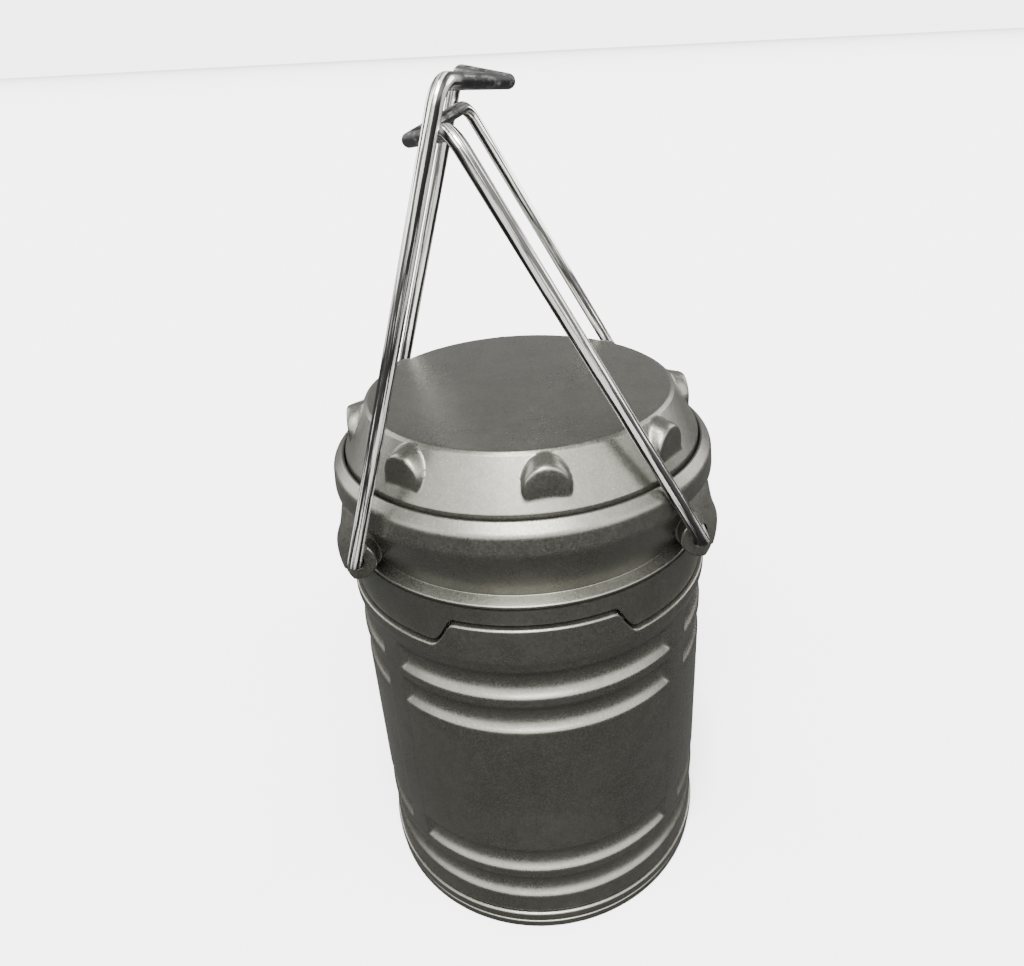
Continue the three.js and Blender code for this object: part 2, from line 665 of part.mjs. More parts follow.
// A boss on a teardrop pad that runs up under the collar's shoulder.
function bailBoss(side, face) {
  const root = bossFace - 14;
  const stub = pivotCylinder(BOSS_RADIUS + BOSS_DRAFT, BOSS_RADIUS, root, bossFace, side, face);
  const padRadius = BOSS_RADIUS + PAD_MARGIN;
  const apex = shoulderZ - hingeZ + PAD_APEX;
  const lean = Math.asin(padRadius / apex);
  const steps = 12;
  const arc = Array.from({ length: steps + 1 }, (_, i) => {
    const angle = Math.PI - lean + ((Math.PI + 2 * lean) * i) / steps;
    return new THREE.Vector2(padRadius * Math.cos(angle), padRadius * Math.sin(angle));
  });
  const outline = [...arc, new THREE.Vector2(0, apex)];
  const pad = prism(outline, root, bossFace - PAD_INSET)
    .rotate([90, 0, 0])
    .scale([1, -face, 1])
    .translate([side * hingeX, 0, hingeZ]);
  const limit = turned([
    [0, collarFoot],
    [BARREL_RADIUS + 6.5, collarFoot],
    [BARREL_RADIUS + 4.5, hingeZ + 1],
    [shoulderRadius - 0.1, shoulderZ + 0.6],
    [0, shoulderZ + 0.6],
  ]);
  const keepOut = disc(spigotInner + 1.2, collarFoot - 1, bodyTop);
  return stub.add(pad.intersect(limit)).subtract(keepOut);
}

const bossHole = (side, face) => (
  pivotCylinder(WIRE_RADIUS + RUNNING_GAP, WIRE_RADIUS + RUNNING_GAP,
    bossFace - WIRE_END_DEPTH - 1, bossFace + 1, side, face)
);

piece('collar', collar(), graphite);

// A D-shaped stub standing out of the cap's cone, towards +X.
function capStub() {
  const half = STUB_WIDTH / 2;
  const foot = collarTop + STUB_FOOT;
  const crown = bodyTop - STUB_TOP;
  const steps = 8;
  const arc = Array.from({ length: steps + 1 }, (_, i) => polar(half, (180 * i) / steps))
    .map((point) => new THREE.Vector2(point.x, point.y + crown - half));
  const outline = [...arc, new THREE.Vector2(-half, foot), new THREE.Vector2(half, foot)];
  return prism(outline, discRadius - CAP_WALL, seamRadius - STUB_INSET).rotate([90, 0, 90]);
}

function topCap() {
  const outside = turned([
    [0, bodyTop],
    [discRadius - 0.6, bodyTop],
    [discRadius, bodyTop - 0.35],
    [seamRadius - 0.2, collarTop + 0.5],
    [seamRadius, collarTop],
    [seamRadius, spigotFoot],
    [0, spigotFoot],
  ]);
  const hollow = turned([
    [0, spigotFoot - 1],
    [spigotInner, spigotFoot - 1],
    [spigotInner, collarTop - 0.4],
    [discRadius - CAP_WALL, bodyTop - CAP_WALL],
    [0, bodyTop - CAP_WALL],
  ]);
  const stubs = around(STUB_COUNT, (angle) => capStub().rotate([0, 0, angle - 90 + STUB_TURN]));
  const posts = capPostPlaces.map((at) => (
    post(at, SCREW_RADIUS + CAP_POST_WALL, flangeTop + FIT_GAP, bodyTop - CAP_WALL / 2)
  ));
  const screwHoles = capPostPlaces.map((at) => (
    post(at, SCREW_RADIUS + FIT_GAP, flangeTop, flangeTop + CAP_SCREW_REACH + 0.5)
  ));
  const shell = joined([outside, ...stubs]).subtract(hollow);
  return joined([shell, ...posts]).subtract(joined(screwHoles));
}

piece('top_cap', topCap(), graphite);

// The cap's screws are driven upwards, with their heads under the collar's flange.
capPostPlaces.forEach((at, i) => {
  const shape = screw(-flangeTop - CAP_SCREW_REACH, FIT_GAP - flangeBottom).rotate([180, 0, 0]);
  piece(`cap_screw_${i + 1}`, shape.translate([at.x, at.y, 0]), screwSteel);
});

// ---- Head: lens tube, reflector and LED column -----------------------------------------------

piece('lens_tube', ring(lensInner, lensOuter, footBottom, lensTop), clearPlastic);

// The foot ring is notched where it runs past the two strips.
const notchInner = stripOuter - STRIP_THICKNESS - FIT_GAP;
const footNotches = [-1, 1].map((side) => block(
  2 * LENS_STEP,
  STRIP_WIDTH + 2,
  2 * FOOT_HEIGHT,
  side * (notchInner + LENS_STEP),
  0,
  footBottom + FOOT_HEIGHT / 2,
));
const footRing = ring(lensOuter + FIT_GAP, bore - SEAM_GAP, footBottom, footTop);
piece('foot_ring', footRing.subtract(joined(footNotches)), blackPlastic);

function reflector() {
  const dish = turned([
    [0, reflectorBottom],
    [columnCorner, reflectorBottom],
    [reflectorRadius, reflectorBottom + REFLECTOR_DISH],
    [reflectorRadius, reflectorBottom + REFLECTOR_DISH + REFLECTOR_THICKNESS],
    [columnCorner, reflectorBottom + REFLECTOR_THICKNESS],
    [columnCorner, driverBottom - FIT_GAP],
    [0, driverBottom - FIT_GAP],
  ]);
  const standOffs = around(3, (angle) => (
    post(polar(capPostCircle, angle), STAND_OFF_RADIUS, reflectorBottom + 1.6, flangeBottom - FIT_GAP)
  ));
  return joined([dish, ...standOffs]);
}

piece('reflector', reflector(), mirrorPlastic);

const chip = block(...CHIP_SIZE, CHIP_X, 0, driverBottom + DRIVER_THICKNESS + 1);
const driver = disc(capPostCircle - 4, driverBottom, driverBottom + DRIVER_THICKNESS).add(chip);
piece('driver_board', driver, boardGreen);

const columnApothem = columnCorner / 2;
const column = disc(columnCorner, columnTop - COLUMN_LENGTH, columnTop, 3);
piece('led_column', column.rotate([0, 0, -90]), whitePlastic);

// A board of LEDs for the column's face towards +X.
function ledBoard() {
  const width = Math.sqrt(3) * columnCorner - BOARD_SIDE_MARGIN;
  const length = COLUMN_LENGTH - BOARD_END_MARGIN;
  const middle = columnTop - COLUMN_LENGTH / 2;
  const inner = columnApothem + FIT_GAP;
  const board = block(BOARD_THICKNESS, width, length, inner + BOARD_THICKNESS / 2, 0, middle);
  const lights = [];
  for (let row = 0; row < LED_ROWS; row += 1) {
    for (const side of [-1, 1]) {
      const z = middle + length * ((row + 0.5) / LED_ROWS - 0.5);
      const light = turned([
        [0, -0.3],
        [LED_RADIUS, -0.3],
        [LED_RADIUS * 0.7, LED_HEIGHT],
        [0, LED_HEIGHT],
      ], 6);
      lights.push(light.rotate([0, 90, 0]).translate([inner + BOARD_THICKNESS, side * width * 0.25, z]));
    }
  }
  return joined([board, ...lights]);
}

around(3, (angle, i) => {
  piece(`led_board_${i + 1}`, ledBoard().rotate([0, 0, angle]), boardWhite);
});

// Each riser runs down inside the lens tube, under its foot and out to a wiper on the strip.
for (const [side, sign] of sides) {
  const footZ = footBottom - FIT_GAP - STRIP_THICKNESS;
  const upright = block(
    STRIP_THICKNESS,
    RISER_WIDTH,
    driverBottom - footZ,
    riserInner + STRIP_THICKNESS / 2,
    0,
    (driverBottom + footZ) / 2,
  );
  const wiperOuter = notchInner;
  const foot = block(
    wiperOuter - riserInner,
    RISER_WIDTH,
    STRIP_THICKNESS,
    (wiperOuter + riserInner) / 2,
    0,
    footZ + STRIP_THICKNESS / 2,
  );
  const wiper = block(
    STRIP_THICKNESS,
    RISER_WIDTH,
    WIPER_LENGTH,
    wiperOuter - STRIP_THICKNESS / 2,
    0,
    footZ + STRIP_THICKNESS - WIPER_LENGTH / 2,
  );
  const riser = joined([upright, foot, wiper]);
  piece(`riser_${side}`, sign < 0 ? riser.rotate([0, 0, 180]) : riser, brass);
}

// ---- Bails -----------------------------------------------------------------------------------

// The left bail leans in until its bends stand at LEFT_BEND_X. The right bail leans in until its
// bends rest, with a small gap, against the left bail's legs.
const leftLean = Math.asin((hingeX + LEFT_BEND_X) / LEG_LENGTH);
const wireSpacing = 2 * WIRE_RADIUS + FIT_GAP + 0.1;
const crossing = Math.asin((2 * hingeX * Math.cos(leftLean) - wireSpacing) / LEG_LENGTH);
const rightLean = crossing - leftLean;

// The wire's centre line, upright in its own plane: X is the hook's direction, Z runs up the legs.
function bailRoute() {
  const bend = radians(HOOK_BEND);
  const hook = new THREE.Vector3(Math.sin(bend), 0, Math.cos(bend)).multiplyScalar(HOOK_REACH);
  const topY = legY - LEG_TOE_IN;
  const end = new THREE.Vector3(0, -(bossFace - WIRE_END_DEPTH), 0);
  const heel = new THREE.Vector3(0, -legY, 0);
  const top = new THREE.Vector3(0, -topY, LEG_LENGTH);
  const tip = new THREE.Vector3(hook.x, 0, LEG_LENGTH + hook.z);
  const mirrored = (point) => new THREE.Vector3(point.x, -point.y, point.z);
  const corners = [end, heel, top, tip, mirrored(top), mirrored(heel), mirrored(end)];
  const heelCorner = WIRE_RADIUS * HEEL_CORNER;
  const radii = [0, heelCorner, WIRE_CORNER, WIRE_CORNER, WIRE_CORNER, heelCorner, 0];
  return rounded(corners, radii);
}

// A run of corners with each inner corner rounded to its own radius.
function rounded(corners, radii) {
  const route = [corners[0].clone()];
  for (let i = 1; i < corners.length - 1; i += 1) {
    const before = corners[i - 1].clone().sub(corners[i]).normalize();
    const after = corners[i + 1].clone().sub(corners[i]).normalize();
    const half = before.angleTo(after) / 2;
    const setBack = radii[i] / Math.tan(half);
    const inward = before.clone().add(after).normalize();
    const centre = inward.multiplyScalar(radii[i] / Math.sin(half)).add(corners[i]);
    const from = before.multiplyScalar(setBack).add(corners[i]).sub(centre);
    const to = after.multiplyScalar(setBack).add(corners[i]).sub(centre);
    const axis = from.clone().cross(to).normalize();
    const sweep = from.angleTo(to);
    const steps = Math.max(3, Math.ceil(sweep / radians(18)));
    for (let k = 0; k <= steps; k += 1) {
      route.push(from.clone().applyAxisAngle(axis, (sweep * k) / steps).add(centre));
    }
  }
  route.push(corners[corners.length - 1].clone());
  return route;
}

function bail(name, sign, lean) {
  const shape = wire(bailRoute(), WIRE_RADIUS, 10);
  const facing = sign < 0 ? shape : shape.rotate([0, 0, 180]);
  const leaning = facing.rotate([0, -sign * THREE.MathUtils.radToDeg(lean), 0]);
  piece(name, leaning.translate([sign * hingeX, 0, hingeZ]), chrome);
}

bail('left_bail', -1, leftLean);
bail('right_bail', 1, rightLean);

export default lantern;
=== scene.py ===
"""Dresses a pull-up camping lantern: fine surfaces, finishes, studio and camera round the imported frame.

Sizes inside the classes are in millimetres, in the frame's own axes: +Z up, front towards -Y.
"""
import json
import logging
import math
from dataclasses import dataclass, field
from enum import Enum
from typing import Callable, Optional, Sequence

import bpy
import numpy as np
from mathutils import Matrix, Vector


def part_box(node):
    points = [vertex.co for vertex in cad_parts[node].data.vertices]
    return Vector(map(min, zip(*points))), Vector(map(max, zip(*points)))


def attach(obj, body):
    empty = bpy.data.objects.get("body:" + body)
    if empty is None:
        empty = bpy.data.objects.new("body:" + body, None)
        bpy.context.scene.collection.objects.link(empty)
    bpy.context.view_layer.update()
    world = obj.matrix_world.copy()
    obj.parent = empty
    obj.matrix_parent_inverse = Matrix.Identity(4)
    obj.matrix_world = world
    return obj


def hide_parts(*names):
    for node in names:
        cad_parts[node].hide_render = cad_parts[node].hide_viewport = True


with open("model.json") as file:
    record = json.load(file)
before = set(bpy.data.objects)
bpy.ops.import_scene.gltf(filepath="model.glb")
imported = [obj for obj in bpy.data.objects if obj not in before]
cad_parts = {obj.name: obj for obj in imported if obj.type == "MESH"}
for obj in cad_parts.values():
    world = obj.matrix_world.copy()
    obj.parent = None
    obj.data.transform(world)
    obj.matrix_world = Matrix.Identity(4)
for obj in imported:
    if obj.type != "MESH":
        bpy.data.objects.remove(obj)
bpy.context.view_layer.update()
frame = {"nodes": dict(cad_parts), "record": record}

MM = 0.001
LOG = logging.getLogger("lantern")
REPLACED = {
    "barrel", "battery_cover", "skirt", "collar", "top_cap", "lens_tube", "left_bail", "right_bail",
}

AREA_WEIGHT = 60  # how much larger faces lead the even normals; 50 is no lead
TINY = 1e-9

Array = np.ndarray
Value = object


# ---- Arrays and shapes ---------------------------------------------------------------------------


def ease(low: float, high: float, x: Array) -> Array:
    """Smooth step: 0 below low, 1 above high, and 3t^2 - 2t^3 between them.

    Args:
        low: where the step starts.
        high: where it ends; a high below low gives a falling step.
        x: the values to step.

    Returns:
        The stepped values.
    """
    t = np.clip((x - low) / (high - low), 0.0, 1.0)
    return t * t * (3.0 - 2.0 * t)


def soft_max(a: Array, b: Array, width: float) -> Array:
    """The larger of two heights, with the crease between them filled to a fillet.

    Args:
        a: first height.
        b: second height.
        width: how far apart the heights stop feeling each other.

    Returns:
        h*a + (1-h)*b + width*h*(1-h), where h runs from 0 to 1 as a - b crosses the width.
    """
    h = np.clip(0.5 + 0.5 * (a - b) / width, 0.0, 1.0)
    return b + (a - b) * h + width * h * (1.0 - h)


def rounded(points: Sequence[Sequence[float]], steps: int = 5, closed: bool = True) -> Array:
    """A polyline whose corners are turned into arcs.

    Each point is (x, y, ..., radius). An arc is the conic ((1-t)^2 S + 2wt(1-t) P + t^2 E) over its
    own weights, where S and E are the tangent points either side of corner P and w is the cosine of
    half the turn, which is a true circle.

    Args:
        points: the corners with their radii.
        steps: spans in each arc.
        closed: whether the last corner leads back to the first.

    Returns:
        The points in order, one row each, with sharp corners kept single.
    """
    table = np.asarray(points, float)
    corner, radius = table[:, :-1], table[:, -1]
    before, after = np.roll(corner, 1, 0) - corner, np.roll(corner, -1, 0) - corner
    reach_before = np.linalg.norm(before, axis=1)
    reach_after = np.linalg.norm(after, axis=1)
    before /= np.maximum(reach_before, TINY)[:, None]
    after /= np.maximum(reach_after, TINY)[:, None]
    turn = np.pi - np.arccos(np.clip((before * after).sum(1), -1.0, 1.0))
    set_back = np.minimum(radius * np.tan(turn / 2), 0.48 * np.minimum(reach_before, reach_after))
    if not closed:
        set_back[[0, -1]] = 0.0
    t = np.linspace(0.0, 1.0, steps + 1)[None, :, None]
    start = (corner + before * set_back[:, None])[:, None]
    end = (corner + after * set_back[:, None])[:, None]
    weight = np.cos(turn / 2)[:, None, None]
    top = (1 - t) ** 2 * start + 2 * weight * t * (1 - t) * corner[:, None] + t ** 2 * end
    arc = top / ((1 - t) ** 2 + 2 * weight * t * (1 - t) + t ** 2)
    keep = np.ones(arc.shape[:2], bool)
    keep[set_back < TINY, 1:] = False
    return arc[keep]


def angles(count: int) -> Array:
    """Equal steps round the circle, in radians from +X."""
    return np.linspace(0.0, 2.0 * np.pi, count, endpoint=False)


def ring_grid(radius: Array, height: Array, turn: Array) -> Array:
    """Points (r cos a, r sin a, z): a radius and a height for each row and angle, turned about Z.

    Args:
        radius: rows by columns, or a column vector.
        height: as radius.
        turn: the angle of each column.

    Returns:
        An array of rows by columns by 3.
    """
    radius, height, turn = np.broadcast_arrays(radius, height, turn[None, :])
    return np.stack([radius * np.cos(turn), radius * np.sin(turn), height], -1)


def revolve(profile: Array, count: int = 192) -> Array:
    """A profile carried round the Z axis.

    Args:
        profile: rows of radius and height.
        count: columns round the axis.

    Returns:
        A grid with one row for each row of the profile.
    """
    return ring_grid(profile[:, :1], profile[:, 1:2], angles(count))


def away_from(turn: Array, places: Sequence[float]) -> Array:
    """How far each angle is from the nearest of some places.

    Args:
        turn: angles in radians.
        places: angles in degrees.

    Returns:
        Signed distance to the nearest place, in radians.
    """
    gap = turn[:, None] - np.radians(np.asarray(places, float))[None, :]
    gap = (gap + np.pi) % (2.0 * np.pi) - np.pi
    return np.take_along_axis(gap, np.abs(gap).argmin(1)[:, None], 1)[:, 0]


class Ends(Enum):
    """How a grid of rows is closed."""

    LOOP = "the last row joins the first"
    POLES = "the first and last rows shrink to one point each"


def grid_faces(rows: int, columns: int, ends: Ends) -> tuple[Array, Array]:
    """Faces of a grid that wraps in its columns.

    Args:
        rows: number of rows, poles not counted.
        columns: number of columns.
        ends: how the rows are closed.

    Returns:
        Four-sided faces and three-sided faces, as vertex numbers. Poles are the last two vertices.
    """
    index = np.arange(rows * columns).reshape(rows, columns)
    following = np.roll(index, -1, 1)
    if ends is Ends.LOOP:
        up, up_following = np.roll(index, -1, 0), np.roll(following, -1, 0)
        return np.stack([index, following, up_following, up], -1).reshape(-1, 4), np.zeros((0, 3), int)
    quads = np.stack([index[:-1], following[:-1], following[1:], index[1:]], -1).reshape(-1, 4)
    low = np.full(columns, rows * columns)
    first = np.stack([low, following[0], index[0]], -1)
    last = np.stack([low + 1, index[-1], following[-1]], -1)
    return quads, np.concatenate([first, last])


def new_mesh(name: str, points: Array, quads: Array, triangles: Array) -> bpy.types.Mesh:
    """A mesh from arrays, turned so that its faces point outwards.

    Args:
        name: the mesh's name.
        points: vertices in millimetres.
        quads: four-sided faces.
        triangles: three-sided faces.

    Returns:
        The mesh, in metres.
    """
    halves = np.concatenate([quads[:, [0, 1, 2]], quads[:, [0, 2, 3]], triangles])
    a, b, c = (points[halves[:, i]] for i in range(3))
    if (a * np.cross(b, c)).sum() < 0.0:
        quads, triangles = quads[:, ::-1], triangles[:, ::-1]
    mesh = bpy.data.meshes.new(name)
    loops = np.concatenate([quads.ravel(), triangles.ravel()])
    totals = np.repeat([4, 3], [len(quads), len(triangles)])
    mesh.vertices.add(len(points))
    mesh.vertices.foreach_set("co", (points * MM).astype(np.float32).ravel())
    mesh.loops.add(len(loops))
    mesh.loops.foreach_set("vertex_index", loops.astype(np.int32))
    mesh.polygons.add(len(totals))
    mesh.polygons.foreach_set("loop_start", (np.cumsum(totals) - totals).astype(np.int32))
    mesh.update(calc_edges=True)
    mesh.validate()
    return mesh


def shell(name: str, grid: Array, ends: Ends = Ends.LOOP) -> bpy.types.Object:
    """An object from a grid of points that wraps in its columns.

    Args:
        name: the object's name.
        grid: rows by columns by 3, in millimetres. With poles, the first and last rows are means.
        ends: how the rows are closed.

    Returns:
        The object, linked to the scene.
    """
    body = grid[1:-1] if ends is Ends.POLES else grid
    points = body.reshape(-1, 3)
    if ends is Ends.POLES:
        points = np.concatenate([points, grid[0].mean(0)[None], grid[-1].mean(0)[None]])
    quads, triangles = grid_faces(body.shape[0], body.shape[1], ends)
    item = bpy.data.objects.new(name, new_mesh(name, points, quads, triangles))
    bpy.context.scene.collection.objects.link(item)
    return item


def tube(path: Array, radius: Array, side: Sequence[float], sides: int = 24) -> Array:
    """A round section carried along a path.

    At each point of the path the tangent is the mean of the spans either side. One section axis is
    the side direction less its part along the tangent, and the other is tangent cross that one.

    Args:
        path: points in order.
        radius: section radius at each point.
        side: a direction that the path never runs along.
        sides: points round the section.

    Returns:
        A grid with one row for each point of the path.
    """
    tangent = np.gradient(path, axis=0)
    tangent /= np.linalg.norm(tangent, axis=1)[:, None]
    across = np.asarray(side, float)[None] - tangent * (tangent @ np.asarray(side, float))[:, None]
    across /= np.linalg.norm(across, axis=1)[:, None]
    upward = np.cross(tangent, across)
    turn = angles(sides)[None, :, None]
    ring = np.cos(turn) * across[:, None] + np.sin(turn) * upward[:, None]
    return path[:, None] + radius[:, None, None] * ring


def round_ends(path: Array, radius: float, steps: int = 5) -> tuple[Array, Array]:
    """A path with domed ends: radius r cos a at a distance r (1 - sin a) short of the tip.

    Args:
        path: points in order.
        radius: the rod's radius.
        steps: rings in each dome.

    Returns:
        The lengthened path and the radius at each of its points, from 0 at both tips.
    """
    lift = np.linspace(0.0, np.pi / 2, steps + 1)[1:]
    first = path[1] - path[0]
    last = path[-2] - path[-1]
    first /= np.linalg.norm(first)
    last /= np.linalg.norm(last)
    depth = radius * (1 - np.sin(lift[::-1]))
    head = path[0] + first * depth[:, None]
    tail = path[-1] + last * depth[::-1, None]
    inner = path[1:-1]
    begin = path[0] + first * radius
    finish = path[-1] + last * radius
    route = np.concatenate([head, begin[None], inner, finish[None], tail])
    cap = radius * np.cos(lift[::-1])
    size = np.concatenate([cap, np.full(len(inner) + 2, radius), cap[::-1]])
    return route, size


def placed(grid: Array, rows: Sequence[Sequence[float]], offset: Sequence[float]) -> Array:
    """A grid turned and moved.

    Args:
        grid: points, the last axis being x, y and z.
        rows: the three rows of the turning matrix.
        offset: the move that follows the turn.

    Returns:
        The grid in its new place.
    """
    return grid @ np.asarray(rows, float).T + np.asarray(offset, float)


class Join(Enum):
    """What a tool does to the solid that it meets."""

    ADD = "UNION"
    CUT = "DIFFERENCE"
    TRIM = "INTERSECT"


def carve(base: bpy.types.Object, tools: Sequence[bpy.types.Object], join: Join) -> None:
    """Adds tools to a closed solid, cuts them from it or trims it to them, and removes the tools.

    Args:
        base: the solid that is changed.
        tools: closed solids.
        join: what each tool does.
    """
    for tool in tools:
        step = base.modifiers.new("step", "BOOLEAN")
        step.operation = join.value
        step.solver = "MANIFOLD"
        step.object = tool
        bpy.context.view_layer.update()
        ready = base.evaluated_get(bpy.context.evaluated_depsgraph_get())
        made = bpy.data.meshes.new_from_object(ready)
        made.name = base.name
        base.modifiers.clear()
        old, base.data = base.data, made
        bpy.data.meshes.remove(old)
        bpy.data.objects.remove(tool)


def smooth(item: bpy.types.Object, degrees: float = 32.0) -> None:
    """Smooth shading that stays crisp over corners sharper than an angle.

    Args:
        item: the piece.
        degrees: the sharpest corner that is still shaded smooth.
    """
    mesh = item.data
    mesh.polygons.foreach_set("use_smooth", np.ones(len(mesh.polygons), bool))
    mesh.set_sharp_from_angle(angle=math.radians(degrees))
    weight = item.modifiers.new("even_normals", "WEIGHTED_NORMAL")
    weight.keep_sharp = True
    weight.weight = AREA_WEIGHT


# ---- Finishes ------------------------------------------------------------------------------------


class Sketch:
    """Adds nodes to one node tree and links them."""

    def __init__(self, tree: bpy.types.NodeTree) -> None:
        """Keeps the tree that the nodes go into."""
        self.tree = tree

    def feed(self, socket: bpy.types.NodeSocket, value: Value) -> None:
        """Links a socket, or sets its own value.

        Args:
            socket: the input.
            value: an output socket, a number, or a tuple.
        """
        if isinstance(value, bpy.types.NodeSocket):
            self.tree.links.new(value, socket)
        else:
            socket.default_value = value

    def node(self, kind: str, inputs: Optional[dict] = None, **settings: Value) -> bpy.types.Node:
        """Adds one node.

        Args:
            kind: the node's type, without its ShaderNode prefix.
            inputs: input name or number to value or socket.
            settings: the node's own properties.

        Returns:
            The node.
        """
        made = self.tree.nodes.new(kind if kind.startswith("Node") else "ShaderNode" + kind)
        for key, value in settings.items():
            setattr(made, key, value)
        for key, value in (inputs or {}).items():
            self.feed(made.inputs[key], value)
        return made

    def math(self, operation: str, a: Value, b: Value = 0.0, clamp: bool = False) -> bpy.types.NodeSocket:
        """A math node's result.

        Args:
            operation: the node's operation.
            a: first value or socket.
            b: second value or socket.
            clamp: whether the result is held between 0 and 1.

        Returns:
            The output socket.
        """
        return self.node("Math", {0: a, 1: b}, operation=operation, use_clamp=clamp).outputs[0]

    def span(self, value: Value, source: Sequence[float], target: Sequence[float]) -> bpy.types.NodeSocket:
        """A value mapped from one range to another, held inside it.

        Args:
            value: number or socket.
            source: the range it comes from.
            target: the range it goes to.

        Returns:
            The output socket.
        """
        inputs = {0: value, 1: source[0], 2: source[1], 3: target[0], 4: target[1]}
        return self.node("MapRange", inputs).outputs[0]

    def blend(self, amount: Value, a: Value, b: Value) -> bpy.types.NodeSocket:
        """Two colours mixed by an amount.

        Args:
            amount: 0 for the first colour, 1 for the second.
            a: first colour or socket.
            b: second colour or socket.

        Returns:
            The output socket.
        """
        made = self.node("Mix", data_type="RGBA", blend_type="MIX")
        for key, value in ((0, amount), (6, a), (7, b)):
            self.feed(made.inputs[key], value)
        return made.outputs[2]

    def scaled(self, color: Value, factor: Value) -> bpy.types.NodeSocket:
        """A colour made lighter or darker by a factor that varies over the surface.

        Args:
            color: colour or socket.
            factor: number or socket.

        Returns:
            The output socket.
        """
        grey = self.node("CombineColor", {0: factor, 1: factor, 2: factor}).outputs[0]
        made = self.node("Mix", data_type="RGBA", blend_type="MULTIPLY")
        for key, value in ((0, 1.0), (6, color), (7, grey)):
            self.feed(made.inputs[key], value)
        return made.outputs[2]

    def noise(
        self, vector: Value, scale: float, detail: float = 3.0, rough: float = 0.5
    ) -> bpy.types.NodeSocket:
        """A noise texture's value between 0 and 1.

        Args:
            vector: the coordinates it reads.
            scale: cells in one unit of the coordinates.
            detail: how many finer layers are added.
            rough: how strong each finer layer is.

        Returns:
            The output socket.
        """
        inputs = {"Vector": vector, "Scale": scale, "Detail": detail, "Roughness": rough}
        return self.node("TexNoise", inputs).outputs[0]

    def stretched(self, vector: Value, scale: Sequence[float]) -> bpy.types.NodeSocket:
        """Coordinates multiplied along each axis.

        Args:
            vector: the coordinates.
            scale: the factor of each axis.

        Returns:
            The output socket.
        """
        return self.node("Mapping", {"Vector": vector, "Scale": tuple(scale)}).outputs[0]


class Effect(Enum):
    """Surface effects that several finishes share, each a node group built once."""

    FLAKES = "fine metal flakes under a clear layer"
    GRAIN = "moulded or rolled unevenness"
    SCUFFS = "sparse fine scratches"


